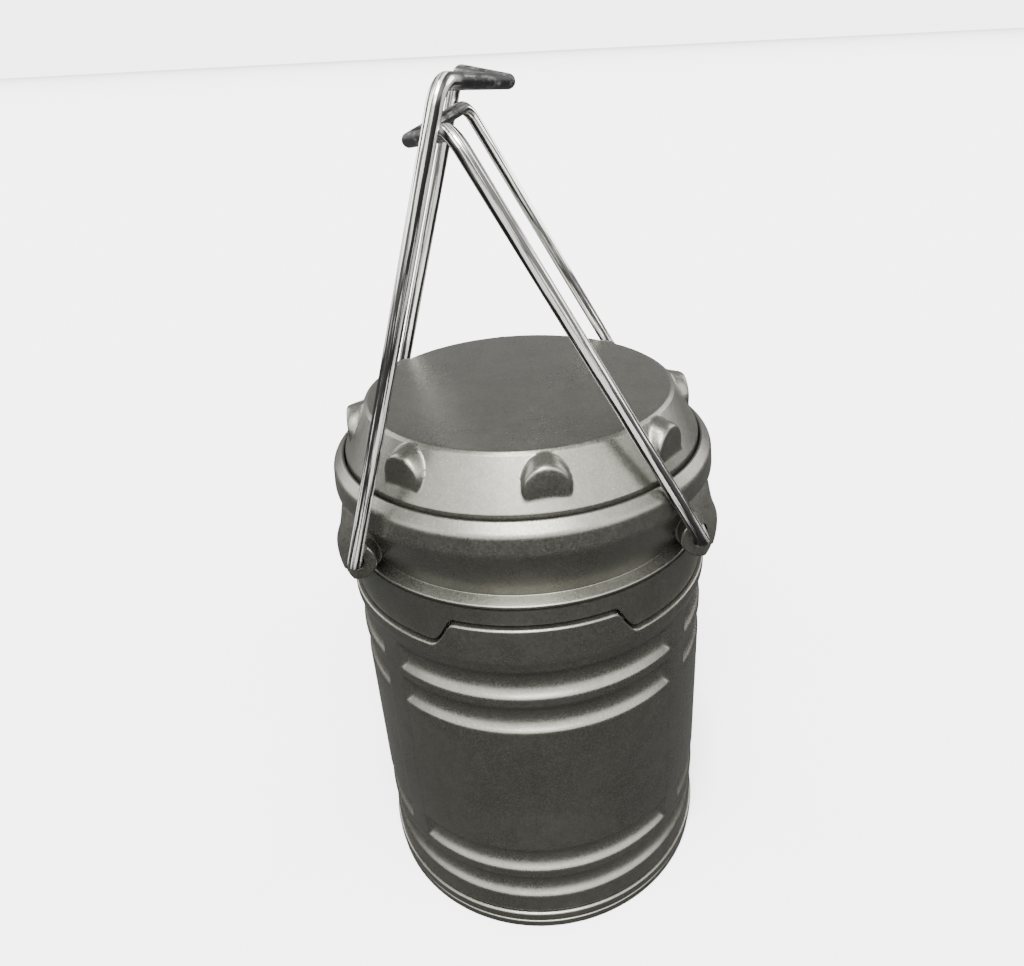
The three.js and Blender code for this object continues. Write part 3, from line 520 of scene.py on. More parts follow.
class Effects:
    """Builds the shared node groups and places them in materials."""

    def __init__(self) -> None:
        """Builds every group once."""
        self.groups = {
            Effect.FLAKES: self._group("flakes", {"Scale": 2600.0, "Spread": 0.3}, self._flakes),
            Effect.GRAIN: self._group("grain", {"Scale": 900.0}, self._grain),
            Effect.SCUFFS: self._group("scuffs", {"Scale": 60.0, "Amount": 0.5}, self._scuffs),
        }

    @staticmethod
    def _group(name: str, inputs: dict, fill: Callable) -> bpy.types.NodeTree:
        """Makes a group with a Vector input, some numbers, and the outputs Tone, Gloss and Height.

        Args:
            name: the group's name.
            inputs: each number's name and its usual value.
            fill: draws the effect, and gives its three output sockets.

        Returns:
            The group.
        """
        tree = bpy.data.node_groups.new(name, "ShaderNodeTree")
        tree.interface.new_socket("Vector", in_out="INPUT", socket_type="NodeSocketVector")
        for key, value in inputs.items():
            socket = tree.interface.new_socket(key, in_out="INPUT", socket_type="NodeSocketFloat")
            socket.default_value = value
        for key in ("Tone", "Gloss", "Height"):
            tree.interface.new_socket(key, in_out="OUTPUT", socket_type="NodeSocketFloat")
        sketch = Sketch(tree)
        source = sketch.node("NodeGroupInput")
        sink = sketch.node("NodeGroupOutput")
        for key, value in zip(("Tone", "Gloss", "Height"), fill(sketch, source.outputs)):
            sketch.feed(sink.inputs[key], value)
        return tree

    @staticmethod
    def _flakes(sketch: Sketch, given: bpy.types.bpy_prop_collection) -> tuple:
        """Each small cell has its own brightness and tilt, and a few are much brighter.

        Args:
            sketch: where the nodes go.
            given: the group's inputs.

        Returns:
            Tone, gloss and height sockets.
        """
        cells = sketch.node("TexVoronoi", {"Vector": given["Vector"], "Scale": given["Scale"]})
        parts = sketch.node("SeparateColor", {0: cells.outputs["Color"]})
        glint = sketch.math("POWER", parts.outputs[0], 9.0)
        cloud = sketch.noise(given["Vector"], 260.0, 2.0)
        swing = sketch.math("SUBTRACT", parts.outputs[1], 0.5)
        tone = sketch.math("MULTIPLY", swing, given["Spread"])
        tone = sketch.math("ADD", tone, sketch.math("MULTIPLY", glint, given["Spread"]))
        tone = sketch.math("ADD", tone, sketch.span(cloud, (0.3, 0.7), (0.94, 1.06)))
        gloss = sketch.math("MULTIPLY", sketch.math("SUBTRACT", parts.outputs[2], 0.5), 0.12)
        return tone, gloss, parts.outputs[0]

    @staticmethod
    def _grain(sketch: Sketch, given: bpy.types.bpy_prop_collection) -> tuple:
        """Two sizes of noise: a fine one for height and a broad one for tone and gloss.

        Args:
            sketch: where the nodes go.
            given: the group's inputs.

        Returns:
            Tone, gloss and height sockets.
        """
        fine = sketch.node("TexNoise", {"Vector": given["Vector"], "Scale": given["Scale"], "Detail": 4.0})
        broad = sketch.noise(given["Vector"], 45.0, 3.0)
        tone = sketch.span(broad, (0.3, 0.7), (0.96, 1.04))
        gloss = sketch.span(broad, (0.3, 0.7), (-0.02, 0.025))
        return tone, gloss, fine.outputs[0]

    @staticmethod
    def _scuffs(sketch: Sketch, given: bpy.types.bpy_prop_collection) -> tuple:
        """Thin bands of a long, narrow noise, shown only where a second, broad noise is high.

        Args:
            sketch: where the nodes go.
            given: the group's inputs.

        Returns:
            Tone, gloss and height sockets.
        """
        tilted = sketch.node("Mapping", {"Vector": given["Vector"], "Rotation": (0.5, 0.9, 0.35)}).outputs[0]
        long = sketch.stretched(tilted, (1.0, 14.0, 9.0))
        lines = sketch.node("TexNoise", {"Vector": long, "Scale": given["Scale"], "Detail": 1.0}).outputs[0]
        offset = sketch.math("ABSOLUTE", sketch.math("SUBTRACT", lines, 0.5))
        thin = sketch.span(offset, (0.0, 0.006), (1.0, 0.0))
        where = sketch.span(sketch.noise(given["Vector"], 70.0, 2.0), (0.62, 0.7), (0.0, 1.0))
        mark = sketch.math("MULTIPLY", sketch.math("MULTIPLY", thin, where), given["Amount"])
        return mark, sketch.math("MULTIPLY", mark, 0.2), mark

    def place(self, sketch: Sketch, effect: Effect, vector: Value, **values: float) -> bpy.types.Node:
        """Puts an effect into a material.

        Args:
            sketch: the material's nodes.
            effect: which effect.
            vector: the coordinates it reads.
            values: the group's numbers.

        Returns:
            The group node, with outputs Tone, Gloss and Height.
        """
        node = sketch.node("Group", node_tree=self.groups[effect])
        sketch.feed(node.inputs["Vector"], vector)
        for key, value in values.items():
            sketch.feed(node.inputs[key], value)
        return node


@dataclass(frozen=True)
class Finish:
    """What every finish has: a name, a colour and a roughness."""

    name: str
    color: tuple[float, float, float]
    roughness: float = 0.5

    def start(self) -> tuple[bpy.types.Material, Sketch, bpy.types.Node]:
        """An empty material with its shader.

        Returns:
            The material, its sketch and its Principled node.
        """
        material = bpy.data.materials.new(self.name)
        material.use_nodes = True
        tree = material.node_tree
        tree.nodes.clear()
        sketch = Sketch(tree)
        shader = sketch.node("BsdfPrincipled")
        out = sketch.node("OutputMaterial")
        sketch.feed(out.inputs["Surface"], shader.outputs[0])
        material.diffuse_color = (*self.color, 1.0)
        return material, sketch, shader

    @property
    def rgba(self) -> tuple[float, float, float, float]:
        """The colour with full alpha."""
        return (*self.color, 1.0)

    def build(self, effects: Effects) -> bpy.types.Material:
        """Makes the material."""
        raise NotImplementedError


@dataclass(frozen=True)
class FlakePaint(Finish):
    """Plastic with metal flake under a thin clear layer, and a few scratches."""

    metallic: float = 0.95
    flake_scale: float = 3000.0
    spread: float = 0.2
    scuffs: float = 0.5
    coat: float = 0.08
    coat_roughness: float = 0.25
    bump: float = 0.3
    bump_height: float = 0.000018

    def build(self, effects: Effects) -> bpy.types.Material:
        """Makes the material.

        Args:
            effects: the shared groups.

        Returns:
            The material.
        """
        material, sketch, shader = self.start()
        place = sketch.node("TexCoord").outputs["Object"]
        flakes = effects.place(sketch, Effect.FLAKES, place, Scale=self.flake_scale, Spread=self.spread)
        grain = effects.place(sketch, Effect.GRAIN, place, Scale=1400.0)
        scuffs = effects.place(sketch, Effect.SCUFFS, place, Scale=60.0, Amount=self.scuffs)
        tone = sketch.math("MULTIPLY", flakes.outputs["Tone"], grain.outputs["Tone"])
        tone = sketch.math("ADD", tone, scuffs.outputs["Tone"])
        rough = sketch.math("ADD", flakes.outputs["Gloss"], grain.outputs["Gloss"])
        rough = sketch.math("ADD", rough, scuffs.outputs["Gloss"])
        rough = sketch.math("ADD", rough, self.roughness, clamp=True)
        height = sketch.math("MULTIPLY", flakes.outputs["Height"], 0.6)
        height = sketch.math("ADD", height, sketch.math("MULTIPLY", grain.outputs["Height"], 0.8))
        bump = sketch.node("Bump", {"Strength": self.bump, "Distance": self.bump_height, "Height": height})
        sketch.feed(shader.inputs["Base Color"], sketch.scaled(self.rgba, tone))
        sketch.feed(shader.inputs["Roughness"], rough)
        sketch.feed(shader.inputs["Normal"], bump.outputs[0])
        shader.inputs["Metallic"].default_value = self.metallic
        shader.inputs["Coat Weight"].default_value = self.coat
        shader.inputs["Coat Roughness"].default_value = self.coat_roughness
        return material


@dataclass(frozen=True)
class BrightWire(Finish):
    """Plated round wire: fine streaks along it, in relief and as painted dark reflections in its colour, and
    painted dark reflection patches towards the hook.
    """

    # Colour and roughness of the painted dark reflections on the wire's streaks and towards the hook.
    dark_reflection: tuple[float, float, float] = (0.008, 0.0075, 0.007)
    dark_reflection_roughness: float = 0.34
    bright_metallic: float = 0.72
    bump: float = 0.25
    bump_height: float = 0.00004

    def build(self, effects: Effects) -> bpy.types.Material:
        """Makes the material.

        Args:
            effects: the shared groups.

        Returns:
            The material.
        """
        material, sketch, shader = self.start()
        along = sketch.node("UVMap", uv_map="wire").outputs[0]
        hook = sketch.node("Attribute", attribute_name="hook").outputs["Fac"]
        place = sketch.node("TexCoord").outputs["Object"]
        streaks = sketch.noise(sketch.stretched(along, (5.5, 17.0, 1.0)), 1.0, 4.0, 0.6)
        patches = sketch.noise(sketch.stretched(along, (3.0, 160.0, 1.0)), 1.0, 4.0, 0.6)
        grain = effects.place(sketch, Effect.GRAIN, place, Scale=3000.0)
        # Painted reflection: dark streaks along the wire stand in for the chrome reflecting dark
        # surroundings. The same streaks also give the bump.
        streak_reflection = sketch.span(streaks, (0.45, 0.5), (0.0, 0.95))
        # Painted reflection: dark patches towards the hook's tip stand in for the chrome reflecting dark
        # surroundings.
        hook_reflection = sketch.math("MULTIPLY", hook, sketch.span(patches, (0.34, 0.5), (0.55, 1.0)))
        # Painted reflection: where either mask is high, the colour goes to the dark reflection colour.
        painted_reflection = sketch.math("MAXIMUM", streak_reflection, hook_reflection, clamp=True)
        tone = sketch.scaled(self.rgba, grain.outputs["Tone"])
        sketch.feed(shader.inputs["Base Color"], sketch.blend(painted_reflection, tone, (*self.dark_reflection, 1.0)))
        rough = sketch.span(painted_reflection, (0.0, 1.0), (self.roughness, self.dark_reflection_roughness))
        sketch.feed(shader.inputs["Roughness"], rough)
        height = sketch.math("ADD", streaks, sketch.math("MULTIPLY", grain.outputs["Height"], 0.5))
        bump = sketch.node("Bump", {"Strength": self.bump, "Distance": self.bump_height, "Height": height})
        sketch.feed(shader.inputs["Normal"], bump.outputs[0])
        metal = sketch.span(painted_reflection, (0.0, 1.0), (self.bright_metallic, 1.0))
        sketch.feed(shader.inputs["Metallic"], metal)
        return material


@dataclass(frozen=True)
class PlainSolid(Finish):
    """Moulded plastic, rubber, board or bare metal with grain, tone changes and fine height."""

    metallic: float = 0.0
    grain_scale: float = 900.0
    bump: float = 0.3
    bump_height: float = 0.00005
    scuffs: float = 0.0

    def build(self, effects: Effects) -> bpy.types.Material:
        """Makes the material.

        Args:
            effects: the shared groups.

        Returns:
            The material.
        """
        material, sketch, shader = self.start()
        place = sketch.node("TexCoord").outputs["Object"]
        grain = effects.place(sketch, Effect.GRAIN, place, Scale=self.grain_scale)
        tone = grain.outputs["Tone"]
        if self.scuffs:
            marks = effects.place(sketch, Effect.SCUFFS, place, Scale=90.0, Amount=self.scuffs)
            tone = sketch.math("ADD", tone, marks.outputs["Tone"])
        rough = sketch.math("ADD", grain.outputs["Gloss"], self.roughness, clamp=True)
        height = grain.outputs["Height"]
        bump = sketch.node("Bump", {"Strength": self.bump, "Distance": self.bump_height, "Height": height})
        sketch.feed(shader.inputs["Base Color"], sketch.scaled(self.rgba, tone))
        sketch.feed(shader.inputs["Roughness"], rough)
        sketch.feed(shader.inputs["Normal"], bump.outputs[0])
        shader.inputs["Metallic"].default_value = self.metallic
        return material


@dataclass(frozen=True)
class ClearPlastic(Finish):
    """Clear moulded plastic with a soft, slightly uneven surface."""

    transmission: float = 0.92
    ior: float = 1.49
    bump: float = 0.12
    bump_height: float = 0.0001

    def build(self, effects: Effects) -> bpy.types.Material:
        """Makes the material.

        Args:
            effects: the shared groups.

        Returns:
            The material.
        """
        material, sketch, shader = self.start()
        place = sketch.node("TexCoord").outputs["Object"]
        grain = effects.place(sketch, Effect.GRAIN, place, Scale=260.0)
        rough = sketch.math("ADD", grain.outputs["Gloss"], self.roughness, clamp=True)
        height = grain.outputs["Height"]
        bump = sketch.node("Bump", {"Strength": self.bump, "Distance": self.bump_height, "Height": height})
        sketch.feed(shader.inputs["Base Color"], sketch.scaled(self.rgba, grain.outputs["Tone"]))
        sketch.feed(shader.inputs["Roughness"], rough)
        sketch.feed(shader.inputs["Normal"], bump.outputs[0])
        shader.inputs["Transmission Weight"].default_value = self.transmission
        shader.inputs["IOR"].default_value = self.ior
        return material


class Palette:
    """Every finish of the lantern, built once and handed out by the record's slot names."""

    FINISHES = {
        "graphite_shell": FlakePaint("graphite_shell", (0.11, 0.1085, 0.093), 0.33),
        "dark_shell": FlakePaint("dark_shell", (0.07, 0.0695, 0.059), 0.38, metallic=0.9),
        "bright_wire": BrightWire("bright_wire", (0.86, 0.85, 0.81), 0.13),
        "black_plastic": PlainSolid("black_plastic", (0.018, 0.018, 0.018), 0.5),
        "white_plastic": PlainSolid("white_plastic", (0.8, 0.8, 0.77), 0.45),
        "clear_sleeve": ClearPlastic("clear_sleeve", (0.95, 0.97, 0.97), 0.12),
        "silvered_plastic": PlainSolid("silvered_plastic", (0.86, 0.87, 0.88), 0.12, metallic=1.0, bump=0.08),
        "green_board": PlainSolid("green_board", (0.02, 0.11, 0.045), 0.4, grain_scale=2500.0),
        "white_board": PlainSolid("white_board", (0.82, 0.82, 0.76), 0.35, grain_scale=2500.0),
        "cell_wrap": PlainSolid("cell_wrap", (0.03, 0.055, 0.1), 0.3, metallic=0.2, scuffs=0.2),
        "gasket_rubber": PlainSolid("gasket_rubber", (0.012, 0.012, 0.012), 0.8, grain_scale=2200.0),
        "brass_contact": PlainSolid("brass_contact", (0.62, 0.42, 0.13), 0.3, metallic=1.0, scuffs=0.3),
        "spring_steel": PlainSolid("spring_steel", (0.62, 0.63, 0.64), 0.22, metallic=1.0),
        "screw_steel": PlainSolid("screw_steel", (0.4, 0.4, 0.41), 0.35, metallic=1.0, scuffs=0.4),
    }

    def __init__(self) -> None:
        """Builds the shared effects."""
        self.effects = Effects()
        self.made: dict[str, bpy.types.Material] = {}

    def get(self, slot: str) -> bpy.types.Material:
        """The material of a slot, built when first asked for.

        Args:
            slot: the record's slot name.

        Returns:
            The material.
        """
        if slot not in self.made:
            self.made[slot] = self.FINISHES[slot].build(self.effects)
        return self.made[slot]

    def dress(self, item: bpy.types.Object, slot: str) -> None:
        """Gives an object the one material of a slot.

        Args:
            item: the piece or solid.
            slot: the record's slot name.
        """
        if len(item.material_slots) == 0:
            item.data.materials.append(self.get(slot))
        for place in item.material_slots:
            place.material = self.get(slot)


# ---- The lantern's pieces ------------------------------------------------------------------------


@dataclass
class Assembly:
    """A sub-assembly: keeps the palette and the names of what it has made."""

    palette: Palette
    made: list[str] = field(default_factory=list)

    def settle(self, item: bpy.types.Object, body: str, slot: str, *nodes: str) -> bpy.types.Object:
        """Dresses a finished piece and ties it to its body.

        Args:
            item: the piece.
            body: the body it rides on.
            slot: the record's slot it is finished as.
            nodes: the plain solids it stands for.

        Returns:
            The piece.
        """
        self.palette.dress(item, slot)
        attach(item, body)
        if nodes:
            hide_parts(*nodes)
        self.made.append(item.name)
        LOG.info("%s: %d faces, rides on %s", item.name, len(item.data.polygons), body)
        return item


FRONT_AND_BACK = (-90.0, 90.0)


@dataclass
class Tab:
    """The raised tab on the barrel's rim, front and back, and the cut-out over it."""

    rise: float = 6.4
    top_half: float = 22.8
    foot_half: float = 31.0
    flank_power: float = 1.25

    def lift(self, turn: Array, margin_degrees: float = 0.0) -> Array:
        """How far the tab lifts an edge at each angle, from 0 to 1.

        The flank is an S: the smooth step of the share of the way from its foot to its top, pulled
        towards the top so that the upper corner is tighter than the foot.

        Args:
            turn: angles in radians.
            margin_degrees: how much wider the outline is.

        Returns:
            The share of the full rise.
        """
        off = np.degrees(np.abs(away_from(turn, FRONT_AND_BACK))) - margin_degrees
        share = np.clip((self.foot_half - off) / (self.foot_half - self.top_half), 0.0, 1.0)
        return ease(0.0, 1.0, share ** self.flank_power)


@dataclass
class Barrel(Assembly):
    """The outer shell: two pairs of scooped grooves, four struts across them, and a tabbed rim."""

    tab: Tab = field(default_factory=Tab)
    radius: float = 43.0
    bore: float = 40.0
    neck_outer: float = 40.6
    neck_inner: float = 35.8
    neck_step: float = 8.4
    foot: float = 6.0
    groove_height: float = 7.5
    groove_depth: float = 1.7
    groove_feet: tuple[float, ...] = (11.7, 21.5, 67.5, 77.3)
    groove_edge: float = 0.22
    strut_places: tuple[float, ...] = (-40.0, -140.0, 40.0, 140.0)
    strut_half: float = 3.2
    strut_relief: float = -0.04
    strut_span: tuple[float, float] = (20.3, 85.3)
    rim_bead: float = 0.45
    rim_start: float = 87.6
    edge: float = 0.55
    neck_foot: float = 3.0
    tab_gap: float = 0.3
    strut_fillet: float = 0.3
    flank_slope: float = 1.1
    end_slope: float = 1.3
    fine_step: float = 0.02
    row_step: float = 0.36
    row_margin: float = 0.9
    closest_rows: float = 0.12
    columns: int = 540

    def groove_wall(self, height: Array) -> Array:
        """The grooved wall's radius at each height.

        A groove is an arc of a circle: wall radius less depth at its middle and less nothing at its
        edges. The edges are then softened by averaging over a short span.

        Args:
            height: heights in millimetres.

        Returns:
            The radius at each height.
        """
        fine = np.arange(self.foot - 2.0, self.rim_start + 2.0, self.fine_step)
        wall = np.full_like(fine, self.radius)
        half = self.groove_height / 2
        arc = (half * half + self.groove_depth ** 2) / (2 * self.groove_depth)
        centre = self.radius + arc - self.groove_depth
        middles = np.asarray(self.groove_feet)[:, None] + half
        off = fine[None] - middles
        scoop = centre - np.sqrt(np.maximum(arc * arc - off * off, 0.0))
        scoop = np.where(np.abs(off) < half, scoop, self.radius)
        wall = np.minimum(wall, scoop.min(0))
        reach = np.arange(-3 * self.groove_edge, 3 * self.groove_edge, self.fine_step)
        kernel = np.exp(-0.5 * (reach / self.groove_edge) ** 2)
        kernel /= kernel.sum()
        wall = self.radius - np.convolve(self.radius - wall, kernel, "same")
        return np.interp(height, fine, wall)

    def struts(self, turn: Array, height: Array) -> Array:
        """The struts' surface: flat-topped bars with sides a little over 45 degrees.

        Args:
            turn: angles in radians.
            height: heights, as a column.

        Returns:
            A radius for each height and angle.
        """
        off = np.abs(away_from(turn, self.strut_places)) * self.radius
        flank = np.maximum(off - self.strut_half, 0.0)[None, :]
        low, high = self.strut_span
        beyond = np.maximum(np.maximum(low - height, height - high), 0.0)
        return self.radius + self.strut_relief - self.flank_slope * flank - self.end_slope * beyond

    def outer_rows(self) -> Array:
        """Heights of the outer wall's rows: close together over the grooves, wide apart between.

        Returns:
            The heights, rising.
        """
        margin = self.row_margin
        groups = [
            np.arange(foot - margin, foot + self.groove_height + margin, self.row_step)
            for foot in self.groove_feet
        ]
        between = [
            np.linspace(self.foot + 0.8, 10.6, 4),
            np.linspace(31.0, 66.0, 15),
            np.linspace(86.2, self.rim_start, 4),
        ]
        rows = np.unique(np.round(np.concatenate(groups + between), 3))
        return rows[np.concatenate([[True], np.diff(rows) > self.closest_rows])]

    def build_shell(self) -> bpy.types.Object:
        """The shell as one loop of rows: outer wall, rim, bore, neck and foot.

        Returns:
            The piece.
        """
        turn = angles(self.columns)
        rows = self.outer_rows()[:, None]
        grooves = self.groove_wall(rows) + 0 * turn[None]
        wall = soft_max(grooves, self.struts(turn, rows), self.strut_fillet)
        wall += self.rim_bead * ease(85.6, self.rim_start, rows)
        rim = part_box("skirt")[0].z / MM - self.tab_gap
        top = (rim + self.tab.rise * self.tab.lift(turn))[None]
        share = np.linspace(0.0, 1.0, 9)[1:, None]
        edge = self.edge
        band_height = rows[-1, 0] + share * (top - edge - rows[-1, 0])
        outer = self.radius + self.rim_bead
        lip = np.linspace(0.0, np.pi / 2, 6)[1:, None]
        lip_radius = outer - edge + edge * np.cos(lip)
        lip_height = top - edge + edge * np.sin(lip)
        inner = np.asarray([[self.bore + 0.3, 0.0], [self.bore + 0.08, -0.08], [self.bore, -0.3]])
        low = rounded([
            (self.bore, self.neck_step, 0.3),
            (self.neck_inner, self.neck_step, 0.3),
            (self.neck_inner, self.neck_foot, 0.3),
            (self.neck_outer, self.neck_foot, 0.3),
            (self.neck_outer, self.foot, 0.2),
            (self.radius + 0.02, self.foot, 0.45),
            (self.radius, self.foot + 1.6, 0.0),
        ], 4, closed=False)
        bore_heights = np.linspace(80.0, 14.0, 5)[:, None]
        flat = np.ones_like(turn)[None]
        radius = np.concatenate([
            wall,
            np.full_like(band_height, outer),
            lip_radius * flat,
            inner[:, :1] * flat,
            self.bore * np.ones_like(bore_heights) * flat,
            low[:-1, :1] * flat,
        ])
        height = np.concatenate([
            rows * flat,
            band_height,
            lip_height,
            top + inner[:, 1:],
            bore_heights * flat,
            low[:-1, 1:] * flat,
        ])
        item = shell("barrel_shell", ring_grid(radius, height, turn))
        smooth(item)
        return self.settle(item, "base", "graphite_shell", "barrel")


@dataclass
class Skirt(Assembly):
    """The dark band under the collar, cut out over the barrel's tabs, with its inner flange."""

    tab: Tab = field(default_factory=Tab)
    outer: float = 42.4
    wall: float = 2.0
    flange_inner: float = 38.3
    flange: float = 2.2
    margin_degrees: float = 0.55
    extra_rise: float = 0.1
    foot_edge: float = 0.25
    columns: int = 720

    def build_band(self) -> bpy.types.Object:
        """The band as one loop of rows, its lower edge lifted over the tabs.

        Returns:
            The piece.
        """
        low, high = (corner.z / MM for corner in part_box("skirt"))
        turn = angles(self.columns)
        flat = np.ones_like(turn)[None]
        foot = (low + (self.tab.rise + self.extra_rise) * self.tab.lift(turn, self.margin_degrees))[None]
        share = np.linspace(0.0, 1.0, 9)[:, None]
        inner = self.outer - self.wall
        bottom = foot + self.foot_edge + share * (high - 0.3 - foot - self.foot_edge)
        top = rounded([
            (self.outer, high, 0.3),
            (self.flange_inner, high, 0.2),
            (self.flange_inner, high - self.flange, 0.2),
            (inner, high - self.flange, 0.2),
        ], 3, closed=False)
        start = foot + self.foot_edge
        inside = start + (1 - share[1:]) * (high - self.flange - 0.4 - foot - self.foot_edge)
        radius = np.concatenate([
            self.outer * share ** 0 * flat,
            top[:, :1] * flat,
            inner * share[1:] ** 0 * flat,
            (inner + self.foot_edge) * flat,
            (self.outer - self.foot_edge) * flat,
        ])
        height = np.concatenate([bottom, top[:, 1:] * flat, inside, foot, foot])
        item = shell("skirt_band", ring_grid(radius, height, turn))
        smooth(item)
        return self.settle(item, "head", "dark_shell", "skirt")


@dataclass
class Collar(Assembly):
    """The flared ring over the skirt, with its shoulder, its inner flange and four bail bosses."""

    hinge_x: float = 36.2
    hinge_z: float = 108.0
    boss_face: float = 32.0
    boss_radius: float = 4.5
    hole_radius: float = 1.85
    hole_depth: float = 7.0
    pad_radius: float = 5.1
    pad_face: float = 28.6
    apex: float = 11.5
    apex_power: int = 7
    seat_depth: float = 4.8
    seat_radius: float = 38.6
    flange_inner: float = 29.8
    flange_span: tuple[float, float] = (106.0, 108.2)
    lead_in: float = 0.25
    columns: int = 240

    def build_ring(self) -> bpy.types.Object:
        """The turned ring.

        Returns:
            The ring, not yet joined to its bosses.
        """
        low, high = (corner.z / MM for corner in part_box("collar"))
        flange_low, flange_high = self.flange_span
        profile = rounded([
            (38.4, low, 0.2),
            (42.35, low, 0.45),
            (42.5, low + 0.8, 0.45),
            (40.0, low + 1.95, 0.15),
            (44.26, low + 13.6, 5.0),
            (43.9, high - 2.9, 2.6),
            (41.22, high, 0.45),
            (41.2, high - self.seat_depth, 0.2),
            (self.seat_radius, high - self.seat_depth, 0.3),
            (self.seat_radius, flange_high, 0.5),
            (self.flange_inner, flange_high, 0.3),
            (self.flange_inner, flange_low, 0.3),
            (38.4, flange_low, 0.4),
        ], 8)
        return shell("collar_ring", revolve(profile, self.columns))

    def to_boss(self, grid: Array, side: int, face: int) -> Array:
        """Lays a shape that was made about Z, front upwards, along Y at one of the four pivots.

        Args:
            grid: the shape's points.
            side: -1 for the left bail, 1 for the right.
            face: -1 for the front, 1 for the back.

        Returns:
            The points at the pivot.
        """
        rows = [[side, 0, 0], [0, 0, face], [0, 1, 0]]
        return placed(grid, rows, (side * self.hinge_x, 0.0, self.hinge_z))

    def boss(self, side: int, face: int) -> bpy.types.Object:
        """A slightly tapered round boss with a bevelled rim.

        Args:
            side: -1 for the left bail, 1 for the right.
            face: -1 for the front, 1 for the back.

        Returns:
            The boss.
        """
        profile = rounded([
            (0.0, 6.0, 0.0),
            (self.boss_radius + 0.6, 6.0, 0.0),
            (self.boss_radius + 0.1, self.boss_face - 1.2, 0.0),
            (self.boss_radius, self.boss_face, 0.55),
            (0.0, self.boss_face, 0.0),
        ], 5, closed=False)
        return shell("boss", self.to_boss(revolve(profile, 64), side, face), Ends.POLES)

    def pad(self, side: int, face: int) -> bpy.types.Object:
        """The teardrop pad behind a boss.

        Its outline is a circle whose upper side is pulled up to an apex: radius r at angle a, with r
        multiplied by 1 + (apex / radius - 1) * sin(a)^k above the middle. It widens a little towards the
        collar and its front edge is rounded.

        Args:
            side: -1 for the left bail, 1 for the right.
            face: -1 for the front, 1 for the back.

        Returns:
            The pad.
        """
        turn = angles(96)
        upward = np.clip(np.sin(turn), 0.0, 1.0)
        outline = self.pad_radius * (1.0 + (self.apex / self.pad_radius - 1.0) * upward ** self.apex_power)
        profile = rounded([
            (0.0, 4.0, 0.0),
            (1.12, 4.0, 0.0),
            (1.0, self.pad_face, 0.8),
            (0.0, self.pad_face, 0.0),
        ], 5, closed=False)
        radius = profile[:, :1] * outline[None]
        grid = ring_grid(radius, profile[:, 1:2] + 0 * radius, turn)
        return shell("pad", self.to_boss(grid, side, face), Ends.POLES)

    def hole(self, side: int, face: int) -> bpy.types.Object:
        """The blind hole for a wire end, with a small lead-in at its mouth.

        Args:
            side: -1 for the left bail, 1 for the right.
            face: -1 for the front, 1 for the back.

        Returns:
            The hole, as a solid to cut with.
        """
        profile = np.asarray([
            (0.0, self.boss_face - self.hole_depth),
            (self.hole_radius, self.boss_face - self.hole_depth),
            (self.hole_radius, self.boss_face - self.lead_in),
            (self.hole_radius + 2 * self.lead_in, self.boss_face + self.lead_in),
            (0.0, self.boss_face + self.lead_in),
        ])
        return shell("hole", self.to_boss(revolve(profile, 40), side, face), Ends.POLES)

    def limit(self) -> bpy.types.Object:
        """The turned space that the pads may fill.

        It lies between the collar's inside and an outline that leans in faster towards the shoulder.

        Returns:
            The space, as a solid to trim with.
        """
        profile = np.asarray([(39.6, 101.6), (49.2, 101.6), (47.4, 108.5), (44.05, 115.2), (39.6, 116.6)])
        return shell("limit", revolve(profile, self.columns))

    def build_collar(self) -> bpy.types.Object:
        """The collar with its four bosses, joined into one closed shell.

        Returns:
            The piece.
        """
        item = self.build_ring()
        corners = [(side, face) for side in (-1, 1) for face in (-1, 1)]
        for side, face in corners:
            pad = self.pad(side, face)
            carve(pad, [self.boss(side, face)], Join.ADD)
            carve(pad, [self.limit()], Join.TRIM)
            carve(item, [pad], Join.ADD)
        carve(item, [self.hole(side, face) for side, face in corners], Join.CUT)
        item.name = "collar_ring"
        smooth(item, 28.0)
        return self.settle(item, "head", "graphite_shell", "collar")


